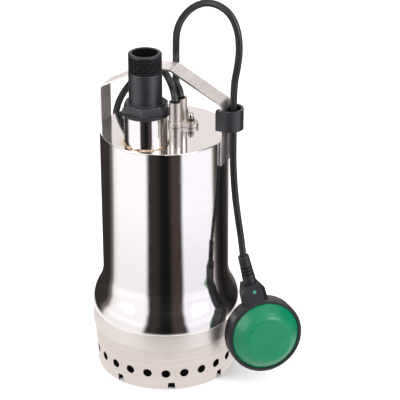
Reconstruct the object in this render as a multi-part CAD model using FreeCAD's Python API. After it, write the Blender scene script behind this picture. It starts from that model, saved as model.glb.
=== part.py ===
import FreeCAD, Part

import math
import os

# Submersible sump pump with a float switch, in millimetres.
# +Z is up, the origin is on the floor under the pump's axis, and the discharge side faces -Y.

V = FreeCAD.Vector

# ---- casing and cover
CASING_R = 83.0
CASING_WALL = 1.5
CASING_TOP_Z = 331.5
COVER_RISE = 3.0
COVER_WALL = 2.0
COVER_LIP = 6.0
COVER_EDGE_R = 1.0
BELL_FLARE = 15.0
BELL_TOP_Z = 142.0
BELL_CREASE_Z = 84.5
BELL_RIM_Z = 63.0
CREASE_DEPTH = 0.2

# ---- strainer foot
STRAINER_TAPER = 4.4
STRAINER_HOLES = 24
STRAINER_HOLE_R = 6.0
STRAINER_HOLE_Z = 25.3
STRAINER_HOLE_START = -91.0
STRAINER_NOTCHES = 8
NOTCH_WIDTH = 11.0
NOTCH_HEIGHT = 11.0
NOTCH_START = -86.5

# ---- wet end
PLATE_ABOVE_RIM = 7.0
PLATE_T = 4.0
GASKET_WIDTH = 2.5
EYE_R = 22.0
IMPELLER_R = 58.0
IMPELLER_VANES = 6
IMPELLER_VANE_T = 2.4
WEAR_GAP = 0.3
DIFFUSER_H = 25.0
DIFFUSER_VANES = 8
DIFFUSER_VANE_T = 3.0
OIL_H = 28.0
OIL_WALL = 6.0
OIL_FLOOR = 4.0
OIL_PLUG_R = 4.0

# ---- motor
JACKET_GAP = 17.5
SHELL_WALL = 2.0
LID_T = 7.0
LID_HEADROOM = 11.5
DUCT_WALL = 1.5
SHAFT_R = 6.0
CORE_SEAT_R = 8.5
ROTOR_R = 31.0
AIR_GAP = 0.4
SEAT_TO_STATOR = 25.0
CAPACITOR_GAP = 2.0
STATOR_SLOTS = 24
SLOT_DEPTH = 17.0
SLOT_WIDTH = 4.0
WINDING_OVERHANG = 15.0
BEARING_R = 16.0
BEARING_W = 10.0
OUTER_RACE_T = 2.6
INNER_RACE_T = 1.5
BRACKET_ROOF = 2.0
WINDING_GAP = 4.0
BEARING_SEAT = 3.0
BEARING_BALLS = 8
RUNNING_GAP = 0.05
CAPACITOR_R = 18.0
CAPACITOR_L = 70.0
STUD_R = 3.0
STUD_COUNT = 4
STUD_START = 45.0
STUD_NUT_R = 5.77

# ---- discharge
SOCKET_AZIMUTH = -117.9
SOCKET_FROM_EDGE = 33.8
SOCKET_R = 27.3
SOCKET_BORE_R = 23.9
SOCKET_H = 40.4
WELD_SIZE = 2.6
HEX_CORNER_R = 29.7
HEX_TURN = -98.9
HEX_H = 11.7
GASKET_T = 2.0
FLANGE_T = 1.3
FLANGE_R = 30.2
NECK_R = 20.95
NECK_L = 38.6
THREAD_PITCH = 2.309
THREAD_TURNS = 10
THREAD_DEPTH = 1.48
NIPPLE_BORE_R = 15.85

# ---- cable gland
GLAND_AZIMUTH = -74.1
GLAND_FROM_EDGE = 21.4
LOBE_R = 7.9
LOBE_SPACING = 15.7
LOBE_WAIST = 5.5
GLAND_WALL = 1.5
GLAND_STUB_TOP = 31.8
GLAND_FLANGE_T = 5.0
GLAND_GASKET_T = 0.7
GLAND_GASKET_INSET = 0.6
GLAND_TUBE_H = 26.3
GROMMET_DEPTH = 12.0
BOLT_R = 2.5
BOLT_SIDE = 17.0
BOLT_BACK = 23.0
BOLT_EAR_R = 9.5
REAR_EAR_R = 7.0
NUT_FLATS = 8.0

# ---- handle and cable clip, turned about the pump's axis
HANDLE_ANGLE = -25.0
HANDLE_W = 28.0
HANDLE_T = 2.5
HANDLE_SINK = 0.4
HANDLE_LEG = 28.5
HANDLE_SHOULDER = 53.5
HANDLE_TOP = 90.0
HANDLE_FLAT = 15.0
HANDLE_BEND_R = 5.0
CLIP_UP = 19.5
CLIP_H = 27.0
CLIP_W = 33.6
CLIP_WALL = 3.2
CLIP_WEB = 13.0
CLIP_HOOK = 5.0
CLIP_REACH = 22.5
CLIP_MOUTH = 19.0
CABLE_STANDOFF = 12.0

# ---- cables
CABLE_D = 9.0
BEND_L = 20.0
COIL_X = 12.0
COIL_Y = 187.0
COIL_MEAN_R = 54.0
COIL_COLUMNS = 4
COIL_ROWS = 4
TIE_T = 1.2
TIE_W = 20.0
PLUG_R = 18.0
PLUG_L = 37.0
PLUG_RELIEF = 24.0
PIN_R = 2.4
PIN_L = 19.0
PIN_SPACING = 19.0

# ---- float switch
FLOAT_BESIDE = 43.6
FLOAT_CENTRE = V(CASING_R + FLOAT_BESIDE, -65.0, 68.8)
FLOAT_FACE = V(0.27, -0.954, 0.13)
FLOAT_UP = V(-0.2357, 0.0655, 0.9696)
FLOAT_R = 50.3
FLOAT_HALF_T = 11.0
FLOAT_BACK_H = 6.0
FLOAT_WALL = 3.0
FLOAT_LID_R = 45.7
FLOAT_LID_RECESS = 2.0
FLOAT_DOME_H = 19.0
FLOAT_DOME_TOP_R = 28.5
NECK_HALF_W = 17.0
NECK_TOP = 76.0
NECK_SHOULDER = 65.0
NECK_TOP_HALF = 9.5
NECK_HALF_D = 11.5
PIN_UP = 65.5
MARKER_R = 2.3
PROTECTOR_L = 39.0
BALL_R = 7.0
BALL_START = -13.0
BALL_TRAVEL = 18.0
SWITCH_GAP = 0.3

# ---- sizes that follow
BELL_R = CASING_R + BELL_FLARE
COVER_TOP_Z = CASING_TOP_Z + COVER_RISE
COVER_UNDER_Z = COVER_TOP_Z - COVER_WALL
PLATE_Z = BELL_RIM_Z + PLATE_ABOVE_RIM
PLATE_TOP_Z = PLATE_Z + PLATE_T
DIFFUSER_TOP_Z = PLATE_TOP_Z + DIFFUSER_H
MOTOR_Z = DIFFUSER_TOP_Z + OIL_H
SHELL_R = CASING_R - CASING_WALL - JACKET_GAP
SHELL_BORE_R = SHELL_R - SHELL_WALL
LID_TOP_Z = COVER_UNDER_Z - LID_HEADROOM
LID_Z = LID_TOP_Z - LID_T
LOWER_BEARING_Z = MOTOR_Z + BEARING_SEAT
STATOR_Z = LOWER_BEARING_Z + BEARING_W + SEAT_TO_STATOR
BRACKET_TOP_Z = LID_Z - 2.0 * CAPACITOR_R - CAPACITOR_GAP
UPPER_BEARING_Z = BRACKET_TOP_Z - BRACKET_ROOF - BEARING_W
STATOR_TOP_Z = UPPER_BEARING_Z - WINDING_GAP - WINDING_OVERHANG
OUTER_RACE_R = BEARING_R - OUTER_RACE_T
INNER_RACE_R = SHAFT_R + INNER_RACE_T
BEARING_BALL_R = (OUTER_RACE_R - INNER_RACE_R) / 2.0 - 2.0 * RUNNING_GAP
STUD_CIRCLE_R = SHELL_R + JACKET_GAP * 0.58
BELL_BORE_R = BELL_R - CASING_WALL
CABLE_R = CABLE_D / 2.0
HANDLE_INNER = CASING_R - HANDLE_SINK
HANDLE_OUTER = HANDLE_INNER + HANDLE_T
CABLE_RHO = CASING_R + CABLE_STANDOFF
CLIP_Z = CASING_TOP_Z + CLIP_UP
CLIP_TOP_Z = CLIP_Z + CLIP_H
SOCKET_TOP_Z = COVER_TOP_Z + SOCKET_H
HEX_Z = SOCKET_TOP_Z + GASKET_T + FLANGE_T
NECK_Z = HEX_Z + HEX_H
THREAD_Z = NECK_Z + NECK_L
THREAD_TOP_Z = THREAD_Z + THREAD_TURNS * THREAD_PITCH
NIPPLE_TOP_Z = THREAD_TOP_Z + 2.5
GLAND_SEAM_Z = COVER_TOP_Z + GLAND_STUB_TOP
GLAND_CAP_Z = GLAND_SEAM_Z + GLAND_GASKET_T
GLAND_CAP_TOP_Z = GLAND_CAP_Z + GLAND_FLANGE_T
GLAND_TOP_Z = GLAND_CAP_TOP_Z + GLAND_TUBE_H
COIL_IN_R = COIL_MEAN_R - COIL_COLUMNS * CABLE_D / 2.0
COIL_OUT_R = COIL_MEAN_R + COIL_COLUMNS * CABLE_D / 2.0
COIL_TOP_Z = TIE_T + COIL_ROWS * CABLE_D


# ---- basic shapes
def cylinder(radius, z0, z1, x=0.0, y=0.0):
    return Part.makeCylinder(radius, z1 - z0, V(x, y, z0))


def ring(outer, inner, z0, z1, x=0.0, y=0.0):
    return cylinder(outer, z0, z1, x, y).cut(cylinder(inner, z0 - 1.0, z1 + 1.0, x, y))


def box(x0, x1, y0, y1, z0, z1):
    return Part.makeBox(x1 - x0, y1 - y0, z1 - z0, V(x0, y0, z0))


def turned(outline):
    """A solid turned about Z from a closed outline of (radius, z) points."""
    corners = [V(r, 0, z) for r, z in outline]
    face = Part.Face(Part.makePolygon(corners + corners[:1]))
    return face.revolve(V(0, 0, 0), V(0, 0, 1), 360)


def prism(outline, z0, z1):
    """A closed outline of (x, y) points, raised from z0 to z1."""
    corners = [V(x, y, z0) for x, y in outline]
    return Part.Face(Part.makePolygon(corners + corners[:1])).extrude(V(0, 0, z1 - z0))


def hexagon(corner_r, z0, z1, x=0.0, y=0.0, turn=0.0):
    angles = [math.radians(turn + 60.0 * i) for i in range(6)]
    outline = [(x + corner_r * math.cos(a), y + corner_r * math.sin(a)) for a in angles]
    return prism(outline, z0, z1)


def capsule(start, end, radius, z0, z1):
    """The upright prism that a circle sweeps between two (x, y) points."""
    dx = end[0] - start[0]
    dy = end[1] - start[1]
    length = math.hypot(dx, dy)
    bar = box(0, length, -radius, radius, z0, z1)
    bar.rotate(V(0, 0, 0), V(0, 0, 1), math.degrees(math.atan2(dy, dx)))
    bar.translate(V(start[0], start[1], 0))
    ends = [cylinder(radius, z0, z1, *start), cylinder(radius, z0, z1, *end)]
    return fuse([bar] + ends)


def fuse(shapes):
    return shapes[0].multiFuse(shapes[1:]).removeSplitter()


def cut(shape, tools):
    for tool in tools:
        shape = shape.cut(tool)
    return shape


def spun(shape, angle):
    """A copy turned about the pump's axis."""
    copy = shape.copy()
    copy.rotate(V(0, 0, 0), V(0, 0, 1), angle)
    return copy


def around(shape, count, start=0.0):
    """Copies of a shape at even angles about the pump's axis."""
    return [spun(shape, start + 360.0 * i / count) for i in range(count)]


def moved(shape, x, y, z=0.0):
    copy = shape.copy()
    copy.translate(V(x, y, z))
    return copy


def polar(radius, azimuth):
    return radius * math.cos(math.radians(azimuth)), radius * math.sin(math.radians(azimuth))


def handle_point(rho, across, z):
    """A point in the handle's own frame: out from the axis, across the strap, up."""
    turn = math.radians(HANDLE_ANGLE)
    x = rho * math.cos(turn) - across * math.sin(turn)
    y = rho * math.sin(turn) + across * math.cos(turn)
    return V(x, y, z)


def in_handle(shape):
    return spun(shape, HANDLE_ANGLE)


SOCKET_XY = polar(CASING_R - SOCKET_FROM_EDGE, SOCKET_AZIMUTH)
GLAND_XY = polar(CASING_R - GLAND_FROM_EDGE, GLAND_AZIMUTH)
DUCT_HOLE = polar(SHELL_BORE_R - 17.0, GLAND_AZIMUTH)
DUCT_HOLE_R = 7.0


def gland_point(rho, across):
    """A point beside the gland's centre, in the handle's directions."""
    step = handle_point(rho, across, 0)
    return GLAND_XY[0] + step.x, GLAND_XY[1] + step.y


FRONT_LOBE = gland_point(0, -LOBE_SPACING / 2.0)
REAR_LOBE = gland_point(0, LOBE_SPACING / 2.0)
BOLT_PLACES = [gland_point(BOLT_SIDE, 0), gland_point(-2.0, BOLT_BACK)]


# ---- cords: straight runs joined by tangent arcs
def cord(name, points, diameter):
    edges = []
    radii = []
    last = points[0]
    for before, corner, after in zip(points, points[1:], points[2:]):
        arrive = (corner - before).normalize()
        leave = (after - corner).normalize()
        half = arrive.getAngle(leave) / 2.0
        reach = 0.45 * min((corner - before).Length, (after - corner).Length)
        radius = reach / math.tan(half)
        inward = (leave - arrive).normalize()
        start = corner - arrive * reach
        end = corner + leave * reach
        middle = corner + inward * (radius / math.cos(half) - radius)
        edges.append(Part.LineSegment(last, start).toShape())
        edges.append(Part.Arc(start, middle, end).toShape())
        radii.append(radius)
        last = end
    edges.append(Part.LineSegment(last, points[-1]).toShape())
    path = Part.Wire(edges)
    section = Part.Wire(Part.Circle(points[0], points[1] - points[0], diameter / 2.0).toShape())
    tube = path.makePipeShell([section], True, False)
    expected = math.pi * diameter**2 / 4.0 * path.Length
    print(f"{name}: length {path.Length:.1f}, radii " + " ".join(f"{r:.0f}" for r in radii))
    print(f"{name}: volume {tube.Volume:.0f} against {expected:.0f}")
    return tube


# ---- casing, cover and foot
def bell_curve(offset):
    """The two tangent arcs from the bell's rim radius up to the casing's radius."""
    low_r = BELL_R - offset
    high_r = CASING_R - offset
    z0 = BELL_CREASE_Z + 1.5
    mid_r = (low_r + high_r) / 2.0
    mid_z = (z0 + BELL_TOP_Z) / 2.0
    half_h = mid_z - z0
    half_w = (low_r - high_r) / 2.0
    radius = (half_h**2 + half_w**2) / (2.0 * half_w)
    half_turn = math.asin(half_h / radius) / 2.0
    rise = radius * math.sin(half_turn)
    sag = radius * (1.0 - math.cos(half_turn))
    lower = Part.Arc(V(low_r, 0, z0), V(low_r - sag, 0, z0 + rise), V(mid_r, 0, mid_z))
    upper = Part.Arc(V(mid_r, 0, mid_z), V(high_r + sag, 0, BELL_TOP_Z - rise), V(high_r, 0, BELL_TOP_Z))
    return [lower.toShape(), upper.toShape()]


def line(outline):
    points = [V(r, 0, z) for r, z in outline]
    return [Part.LineSegment(a, b).toShape() for a, b in zip(points, points[1:])]


def outer_casing():
    z0 = BELL_CREASE_Z + 1.5
    outside = [
        (BELL_BORE_R, BELL_RIM_Z),
        (BELL_R, BELL_RIM_Z),
        (BELL_R, BELL_CREASE_Z - 0.6),
        (BELL_R - CREASE_DEPTH, BELL_CREASE_Z),
        (BELL_R, BELL_CREASE_Z + 0.6),
        (BELL_R, z0),
    ]
    top = [(CASING_R, BELL_TOP_Z), (CASING_R, CASING_TOP_Z), (CASING_R - CASING_WALL, CASING_TOP_Z)]
    top.append((CASING_R - CASING_WALL, BELL_TOP_Z))
    edges = line(outside) + bell_curve(0.0) + line(top) + bell_curve(CASING_WALL)
    edges += line([(BELL_BORE_R, z0), (BELL_BORE_R, BELL_RIM_Z)])
    face = Part.Face(Part.Wire(Part.__sortEdges__(edges)))
    return face.revolve(V(0, 0, 0), V(0, 0, 1), 360)


def top_cover():
    plate = cylinder(CASING_R, CASING_TOP_Z, COVER_TOP_Z)
    rim = [edge for edge in plate.Edges if edge.BoundBox.ZMin > COVER_TOP_Z - 0.01]
    plate = plate.makeFillet(COVER_EDGE_R, rim[:1])
    register_r = CASING_R - CASING_WALL
    lip = cylinder(register_r, CASING_TOP_Z - COVER_LIP, CASING_TOP_Z)
    hollow_r = register_r - COVER_WALL
    hollow = cylinder(hollow_r, CASING_TOP_Z - COVER_LIP - 1.0, COVER_UNDER_Z)
    body = fuse([plate, lip]).cut(hollow)
    holes = [cylinder(SOCKET_R, COVER_UNDER_Z - 1.0, COVER_TOP_Z + 1.0, *SOCKET_XY)]
    holes.append(gland_outline(LOBE_R, LOBE_WAIST, COVER_UNDER_Z - 1.0, COVER_TOP_Z + 1.0))
    return cut(body, holes)


def strainer():
    top_r = BELL_BORE_R - 0.1
    foot_r = top_r - STRAINER_TAPER
    wall = CASING_WALL
    outline = [
        (foot_r - 7.0, 0.0),
        (foot_r, 0.0),
        (top_r, BELL_RIM_Z),
        (top_r, PLATE_Z),
        (STUD_CIRCLE_R - STUD_R - 4.0, PLATE_Z),
        (STUD_CIRCLE_R - STUD_R - 4.0, PLATE_Z - wall),
        (top_r - wall, PLATE_Z - wall),
        (top_r - wall, BELL_RIM_Z),
        (foot_r - wall, wall),
        (foot_r - 7.0, wall),
    ]
    body = turned(outline)
    start = V(foot_r - 15.0, 0, STRAINER_HOLE_Z)
    hole = Part.makeCylinder(STRAINER_HOLE_R, 30.0, start, V(1, 0, 0))
    low = NOTCH_WIDTH / 2.0
    high = low * 0.75
    notch = prism([(-low, -1.0), (low, -1.0), (high, NOTCH_HEIGHT), (-high, NOTCH_HEIGHT)], 0, 30.0)
    notch.rotate(V(0, 0, 0), V(1, 1, 1), 120)
    notch.translate(V(foot_r - 15.0, 0, 0))
    bolt_hole = cylinder(STUD_R, PLATE_Z - 4.0, PLATE_Z + 1.0, STUD_CIRCLE_R, 0)
    tools = around(hole, STRAINER_HOLES, STRAINER_HOLE_START)
    tools += around(notch, STRAINER_NOTCHES, NOTCH_START)
    tools += around(bolt_hole, STUD_COUNT, STUD_START)
    return cut(body, tools)


# ---- wet end
def casing_gasket():
    return ring(BELL_BORE_R, BELL_BORE_R - GASKET_WIDTH, PLATE_Z, PLATE_TOP_Z)


def suction_plate():
    bore_r = EYE_R + 3.0 + WEAR_GAP
    plate = ring(BELL_BORE_R - GASKET_WIDTH, bore_r, PLATE_Z, PLATE_TOP_Z)
    lead_in = ring(bore_r + 6.0, bore_r, PLATE_Z - 3.0, PLATE_Z)
    bolt_hole = cylinder(STUD_R, PLATE_Z - 1.0, PLATE_TOP_Z + 1.0, STUD_CIRCLE_R, 0)
    return cut(fuse([plate, lead_in]), around(bolt_hole, STUD_COUNT, STUD_START))


def impeller():
    neck_z = PLATE_Z + 1.0
    shroud_z = PLATE_TOP_Z + 3.0
    shroud_top = shroud_z + 2.5
    disc_z = shroud_z + 13.0
    disc_top = disc_z + 3.0
    neck = ring(EYE_R + 3.0, EYE_R, neck_z, shroud_z)
    shroud = ring(IMPELLER_R, EYE_R, shroud_z, shroud_top)
    disc = cylinder(IMPELLER_R, disc_z, disc_top)
    hub = cylinder(12.0, disc_z - 6.0, disc_top + 2.0)
    sweep_r = IMPELLER_R / 2.0 + 1.0
    half = IMPELLER_VANE_T / 2.0
    curl = ring(sweep_r + half, sweep_r - half, shroud_top, disc_z, sweep_r, 0)
    curl = curl.common(box(0, 2 * IMPELLER_R, 0, 2 * IMPELLER_R, shroud_top, disc_z))
    vane = curl.common(ring(IMPELLER_R, 15.0, shroud_top, disc_z))
    body = fuse([neck, shroud, disc, hub] + around(vane, IMPELLER_VANES))
    return body.cut(cylinder(SHAFT_R, neck_z, disc_top + 5.0))


def impeller_nut():
    top = PLATE_TOP_Z + 10.0
    body = fuse([hexagon(9.8, top - 8.0, top), cylinder(7.0, top - 12.0, top - 8.0)])
    return body.cut(cylinder(SHAFT_R, top - 8.0, top + 1.0))


def diffuser():
    inner_r = IMPELLER_R + 3.0
    outer_r = STUD_CIRCLE_R - STUD_R - 0.5
    deck_z = DIFFUSER_TOP_Z - 3.0
    deck = ring(outer_r, 14.0, deck_z, DIFFUSER_TOP_Z)
    vane = box(-6.0, 6.0, -DIFFUSER_VANE_T / 2.0, DIFFUSER_VANE_T / 2.0, PLATE_TOP_Z, deck_z)
    vane.rotate(V(0, 0, 0), V(0, 0, 1), 50)
    vane.translate(V((inner_r + outer_r) / 2.0, 0, 0))
    keep = ring(outer_r, inner_r, PLATE_TOP_Z, deck_z)
    return fuse([deck] + [blade.common(keep) for blade in around(vane, DIFFUSER_VANES)])


def oil_chamber():
    body = ring(SHELL_R, SHELL_R - OIL_WALL, DIFFUSER_TOP_Z, MOTOR_Z)
    floor = ring(SHELL_R - OIL_WALL, 13.0, DIFFUSER_TOP_Z, DIFFUSER_TOP_Z + OIL_FLOOR)
    z = DIFFUSER_TOP_Z + OIL_H / 2.0
    hole = Part.makeCylinder(OIL_PLUG_R, 30.0, V(SHELL_R - OIL_WALL - 5.0, 0, z), V(1, 0, 0))
    return fuse([body, floor]).cut(spun(hole, 90))


def oil_plug():
    """The plug's shank in the oil chamber's wall, and its head standing a little off the round wall."""
    z = DIFFUSER_TOP_Z + OIL_H / 2.0
    seat_r = SHELL_R + 0.4
    bore_r = SHELL_R - OIL_WALL
    shank = Part.makeCylinder(OIL_PLUG_R, seat_r - bore_r, V(bore_r, 0, z), V(1, 0, 0))
    head = Part.makeCylinder(OIL_PLUG_R + 2.5, 3.5, V(seat_r, 0, z), V(1, 0, 0))
    return spun(fuse([shank, head]), 90)


def seal_seat():
    return ring(13.0, SHAFT_R + 1.0, DIFFUSER_TOP_Z, DIFFUSER_TOP_Z + OIL_FLOOR + 1.0)


def seal_rotating_ring():
    z0 = DIFFUSER_TOP_Z + OIL_FLOOR + 1.1
    outline = [(SHAFT_R, z0), (11.0, z0), (11.0, z0 + 4.0)]
    for step in range(3):
        low = z0 + 4.0 + 3.0 * step
        outline += [(8.5, low), (8.5, low + 1.0), (10.5, low + 1.5), (10.5, low + 2.5)]
    outline += [(9.0, z0 + 13.0), (SHAFT_R, z0 + 13.0)]
    return turned(outline)


def lip_seal():
    return ring(14.0, SHAFT_R + RUNNING_GAP, MOTOR_Z - 6.0, MOTOR_Z)


# ---- motor
def lower_bearing_bracket():
    pocket_z = LOWER_BEARING_Z
    plate = ring(SHELL_BORE_R, SHAFT_R + 2.0, MOTOR_Z, MOTOR_Z + 5.0)
    collar = ring(BEARING_R + 4.0, SHAFT_R + 2.0, MOTOR_Z, pocket_z + BEARING_W)
    seal_ring = ring(20.0, 14.0, MOTOR_Z - 6.0, MOTOR_Z)
    pocket = cylinder(BEARING_R, pocket_z, pocket_z + BEARING_W + 1.0)
    return fuse([plate, collar, seal_ring]).cut(pocket)


def upper_bearing_bracket():
    plate = ring(SHELL_BORE_R, BEARING_R, UPPER_BEARING_Z + 4.0, UPPER_BEARING_Z + BEARING_W)
    roof = cylinder(BEARING_R + 4.0, UPPER_BEARING_Z + BEARING_W, BRACKET_TOP_Z)
    collar = ring(BEARING_R + 4.0, BEARING_R, UPPER_BEARING_Z, BRACKET_TOP_Z)
    shaft_room = cylinder(SHAFT_R + 2.0, UPPER_BEARING_Z, BRACKET_TOP_Z - BRACKET_ROOF * 0.4)
    wire_hole = cylinder(7.0, UPPER_BEARING_Z, BRACKET_TOP_Z, 42.0, 0)
    return cut(fuse([plate, roof, collar]), [shaft_room, spun(wire_hole, GLAND_AZIMUTH)])


def bearing_outer_rings():
    outer = ring(BEARING_R, OUTER_RACE_R, 0, BEARING_W)
    return Part.makeCompound([moved(outer, 0, 0, z) for z in (LOWER_BEARING_Z, UPPER_BEARING_Z)])


def bearing_inner_rings():
    inner = ring(INNER_RACE_R, SHAFT_R, 0, BEARING_W)
    return Part.makeCompound([moved(inner, 0, 0, z) for z in (LOWER_BEARING_Z, UPPER_BEARING_Z)])


def bearing_balls():
    pitch_r = (OUTER_RACE_R + INNER_RACE_R) / 2.0
    balls = []
    for z in (LOWER_BEARING_Z, UPPER_BEARING_Z):
        ball = Part.makeSphere(BEARING_BALL_R, V(pitch_r, 0, z + BEARING_W / 2.0))
        balls += around(ball, BEARING_BALLS)
    return Part.makeCompound(balls)


def shaft():
    nut_z = PLATE_TOP_Z + 3.0
    step_z = LOWER_BEARING_Z + BEARING_W + 1.0
    slim_z = UPPER_BEARING_Z - 1.0
    lower = cylinder(SHAFT_R, nut_z, step_z)
    middle = cylinder(CORE_SEAT_R, step_z, slim_z)
    upper = cylinder(SHAFT_R, slim_z, UPPER_BEARING_Z + BEARING_W)
    return fuse([lower, middle, upper])


def rotor_core():
    return ring(ROTOR_R, CORE_SEAT_R, STATOR_Z, STATOR_TOP_Z)


def rotor_end_rings():
    outer = ROTOR_R - 1.0
    inner = ROTOR_R - 11.0
    lower = ring(outer, inner, STATOR_Z - 8.0, STATOR_Z)
    upper = ring(outer, inner, STATOR_TOP_Z, STATOR_TOP_Z + 8.0)
    return Part.makeCompound([lower, upper])


def stator_core():
    bore_r = ROTOR_R + AIR_GAP
    body = ring(SHELL_BORE_R, bore_r, STATOR_Z, STATOR_TOP_Z)
    half = SLOT_WIDTH / 2.0
    slot = box(bore_r + 1.5, bore_r + 1.5 + SLOT_DEPTH, -half, half, STATOR_Z - 1.0, STATOR_TOP_Z + 1.0)
    mouth = box(bore_r - 2.0, bore_r + 3.0, -1.0, 1.0, STATOR_Z - 1.0, STATOR_TOP_Z + 1.0)
    return cut(body, around(fuse([slot, mouth]), STATOR_SLOTS))


def stator_windings():
    inner = ROTOR_R + AIR_GAP + 2.0
    outer = inner + SLOT_DEPTH
    lower = ring(outer, inner, STATOR_Z - WINDING_OVERHANG, STATOR_Z)
    upper = ring(outer, inner, STATOR_TOP_Z, STATOR_TOP_Z + WINDING_OVERHANG)
    return Part.makeCompound([rounded(lower, 4.0), rounded(upper, 4.0)])


def rounded(shape, radius):
    """The outer and inner end edges of a ring, rounded."""
    edges = [edge for edge in shape.Edges if edge.BoundBox.ZLength < 0.01]
    return shape.makeFillet(radius, edges)


def motor_shell():
    return ring(SHELL_R, SHELL_BORE_R, MOTOR_Z, LID_TOP_Z - 3.0)


def motor_lid():
    plug = cylinder(SHELL_BORE_R, LID_Z, LID_TOP_Z - 3.0)
    flange = cylinder(SHELL_R, LID_TOP_Z - 3.0, LID_TOP_Z)
    wire_hole = cylinder(DUCT_HOLE_R, LID_Z - 1.0, LID_TOP_Z + 1.0, *DUCT_HOLE)
    return fuse([plug, flange]).cut(wire_hole)


def cable_duct():
    """A flat box that carries the wires from the gland in over the motor's lid."""
    top = COVER_UNDER_Z - 2.5
    room_z = LID_TOP_Z + DUCT_WALL
    outer = duct_plan(0.0, LID_TOP_Z, top)
    room = duct_plan(DUCT_WALL, room_z, top - DUCT_WALL)
    inlet = gland_outline(LOBE_R - GLAND_WALL, LOBE_WAIST - GLAND_WALL, top - 2.0, top + 1.0)
    outlet = cylinder(DUCT_HOLE_R, LID_TOP_Z - 1.0, room_z + 1.0, *DUCT_HOLE)
    return cut(outer, [room, inlet, outlet])


def duct_plan(inset, z0, z1):
    under_gland = capsule(FRONT_LOBE, REAR_LOBE, LOBE_R - inset, z0, z1)
    to_hole = capsule(DUCT_HOLE, GLAND_XY, DUCT_HOLE_R + 3.0 - inset, z0, z1)
    return fuse([under_gland, to_hole])


def motor_spacers():
    post = cylinder(5.0, LID_TOP_Z, COVER_UNDER_Z, SHELL_R - 16.0, 0)
    return Part.makeCompound([spun(post, azimuth) for azimuth in (20.0, 90.0, 160.0)])


def tie_studs():
    stud = cylinder(STUD_R, PLATE_Z - 9.0, COVER_UNDER_Z, STUD_CIRCLE_R, 0)
    return Part.makeCompound(around(stud, STUD_COUNT, STUD_START))


def stud_nuts():
    top = PLATE_Z - CASING_WALL
    bore = cylinder(STUD_R, top - 6.0, top + 1.0, STUD_CIRCLE_R, 0)
    nut = hexagon(STUD_NUT_R, top - 5.0, top, STUD_CIRCLE_R, 0).cut(bore)
    return Part.makeCompound(around(nut, STUD_COUNT, STUD_START))


def capacitor():
    z = BRACKET_TOP_Z + CAPACITOR_R
    can = Part.makeCylinder(CAPACITOR_R, CAPACITOR_L, V(-CAPACITOR_L / 2.0, 14.0, z), V(1, 0, 0))
    tab = box(CAPACITOR_L / 2.0, CAPACITOR_L / 2.0 + 6.0, 9.0, 19.0, z - 0.5, z + 0.5)
    return fuse([can, tab])


# ---- discharge
def discharge_socket():
    return ring(SOCKET_R, SOCKET_BORE_R, COVER_UNDER_Z, SOCKET_TOP_Z, *SOCKET_XY)


def socket_weld():
    corner = (SOCKET_R, COVER_TOP_Z)
    outline = [corner, (SOCKET_R + WELD_SIZE, COVER_TOP_Z), (SOCKET_R, COVER_TOP_Z + WELD_SIZE)]
    return moved(turned(outline), *SOCKET_XY)


def discharge_gasket():
    return ring(FLANGE_R, SOCKET_BORE_R, SOCKET_TOP_Z, SOCKET_TOP_Z + GASKET_T, *SOCKET_XY)


def hose_adaptor():
    stem_z = SOCKET_TOP_Z - 20.0
    flange_z = SOCKET_TOP_Z + GASKET_T
    outline = [(NIPPLE_BORE_R, stem_z), (SOCKET_BORE_R, stem_z), (SOCKET_BORE_R, flange_z)]
    outline += [(FLANGE_R - 0.4, flange_z), (FLANGE_R - 0.4, HEX_Z), (NECK_R, HEX_Z), (NECK_R, THREAD_Z)]
    for turn in range(THREAD_TURNS):
        low = THREAD_Z + turn * THREAD_PITCH
        outline += [(NECK_R, low + 0.35), (NECK_R - THREAD_DEPTH, low + 1.15), (NECK_R, low + 1.95)]
    outline += [(NECK_R, THREAD_TOP_Z + 0.8), (NECK_R - 1.6, NIPPLE_TOP_Z)]
    outline += [(NIPPLE_BORE_R + 1.2, NIPPLE_TOP_Z), (NIPPLE_BORE_R, NIPPLE_TOP_Z - 1.2)]
    nipple = turned(outline)
    nut = hexagon(HEX_CORNER_R, HEX_Z, NECK_Z, turn=HEX_TURN)
    edge_r = HEX_CORNER_R + 1.0
    crown = [(0.0, HEX_Z), (edge_r, HEX_Z), (edge_r, NECK_Z - 3.2)]
    crown += [(HEX_CORNER_R - 4.0, NECK_Z), (0.0, NECK_Z)]
    nut = nut.common(turned(crown)).cut(cylinder(NIPPLE_BORE_R, HEX_Z - 1.0, NECK_Z + 1.0))
    return moved(fuse([nipple, nut]), *SOCKET_XY)


# ---- cable gland
def gland_outline(radius, waist, z0, z1):
    """Two round lobes side by side, joined by a narrower waist."""
    lobes = [cylinder(radius, z0, z1, *FRONT_LOBE), cylinder(radius, z0, z1, *REAR_LOBE)]
    half = LOBE_SPACING / 2.0
    bar = box(-waist, waist, -half, half, z0, z1)
    bar = moved(in_handle(bar), *GLAND_XY)
    return fuse(lobes + [bar])


def gland_tube(z0, z1):
    outer = gland_outline(LOBE_R, LOBE_WAIST, z0, z1)
    return outer.cut(gland_outline(LOBE_R - GLAND_WALL, LOBE_WAIST - GLAND_WALL, z0 - 1.0, z1 + 1.0))


def gland_flange(inset, z0, z1):
    """The flange round both lobes, with an ear for each bolt, set in by the given amount all round."""
    plate = [capsule(FRONT_LOBE, REAR_LOBE, LOBE_R + 1.4 - inset, z0, z1)]
    plate += [capsule(GLAND_XY, BOLT_PLACES[0], BOLT_EAR_R - inset, z0, z1)]
    plate += [capsule(GLAND_XY, BOLT_PLACES[1], REAR_EAR_R - inset, z0, z1)]
    bore = gland_outline(LOBE_R - GLAND_WALL, LOBE_WAIST - GLAND_WALL, z0 - 1.0, z1 + 1.0)
    holes = [cylinder(BOLT_R, z0 - 1.0, z1 + 1.0, *place) for place in BOLT_PLACES]
    return cut(fuse(plate), [bore] + holes)


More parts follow.
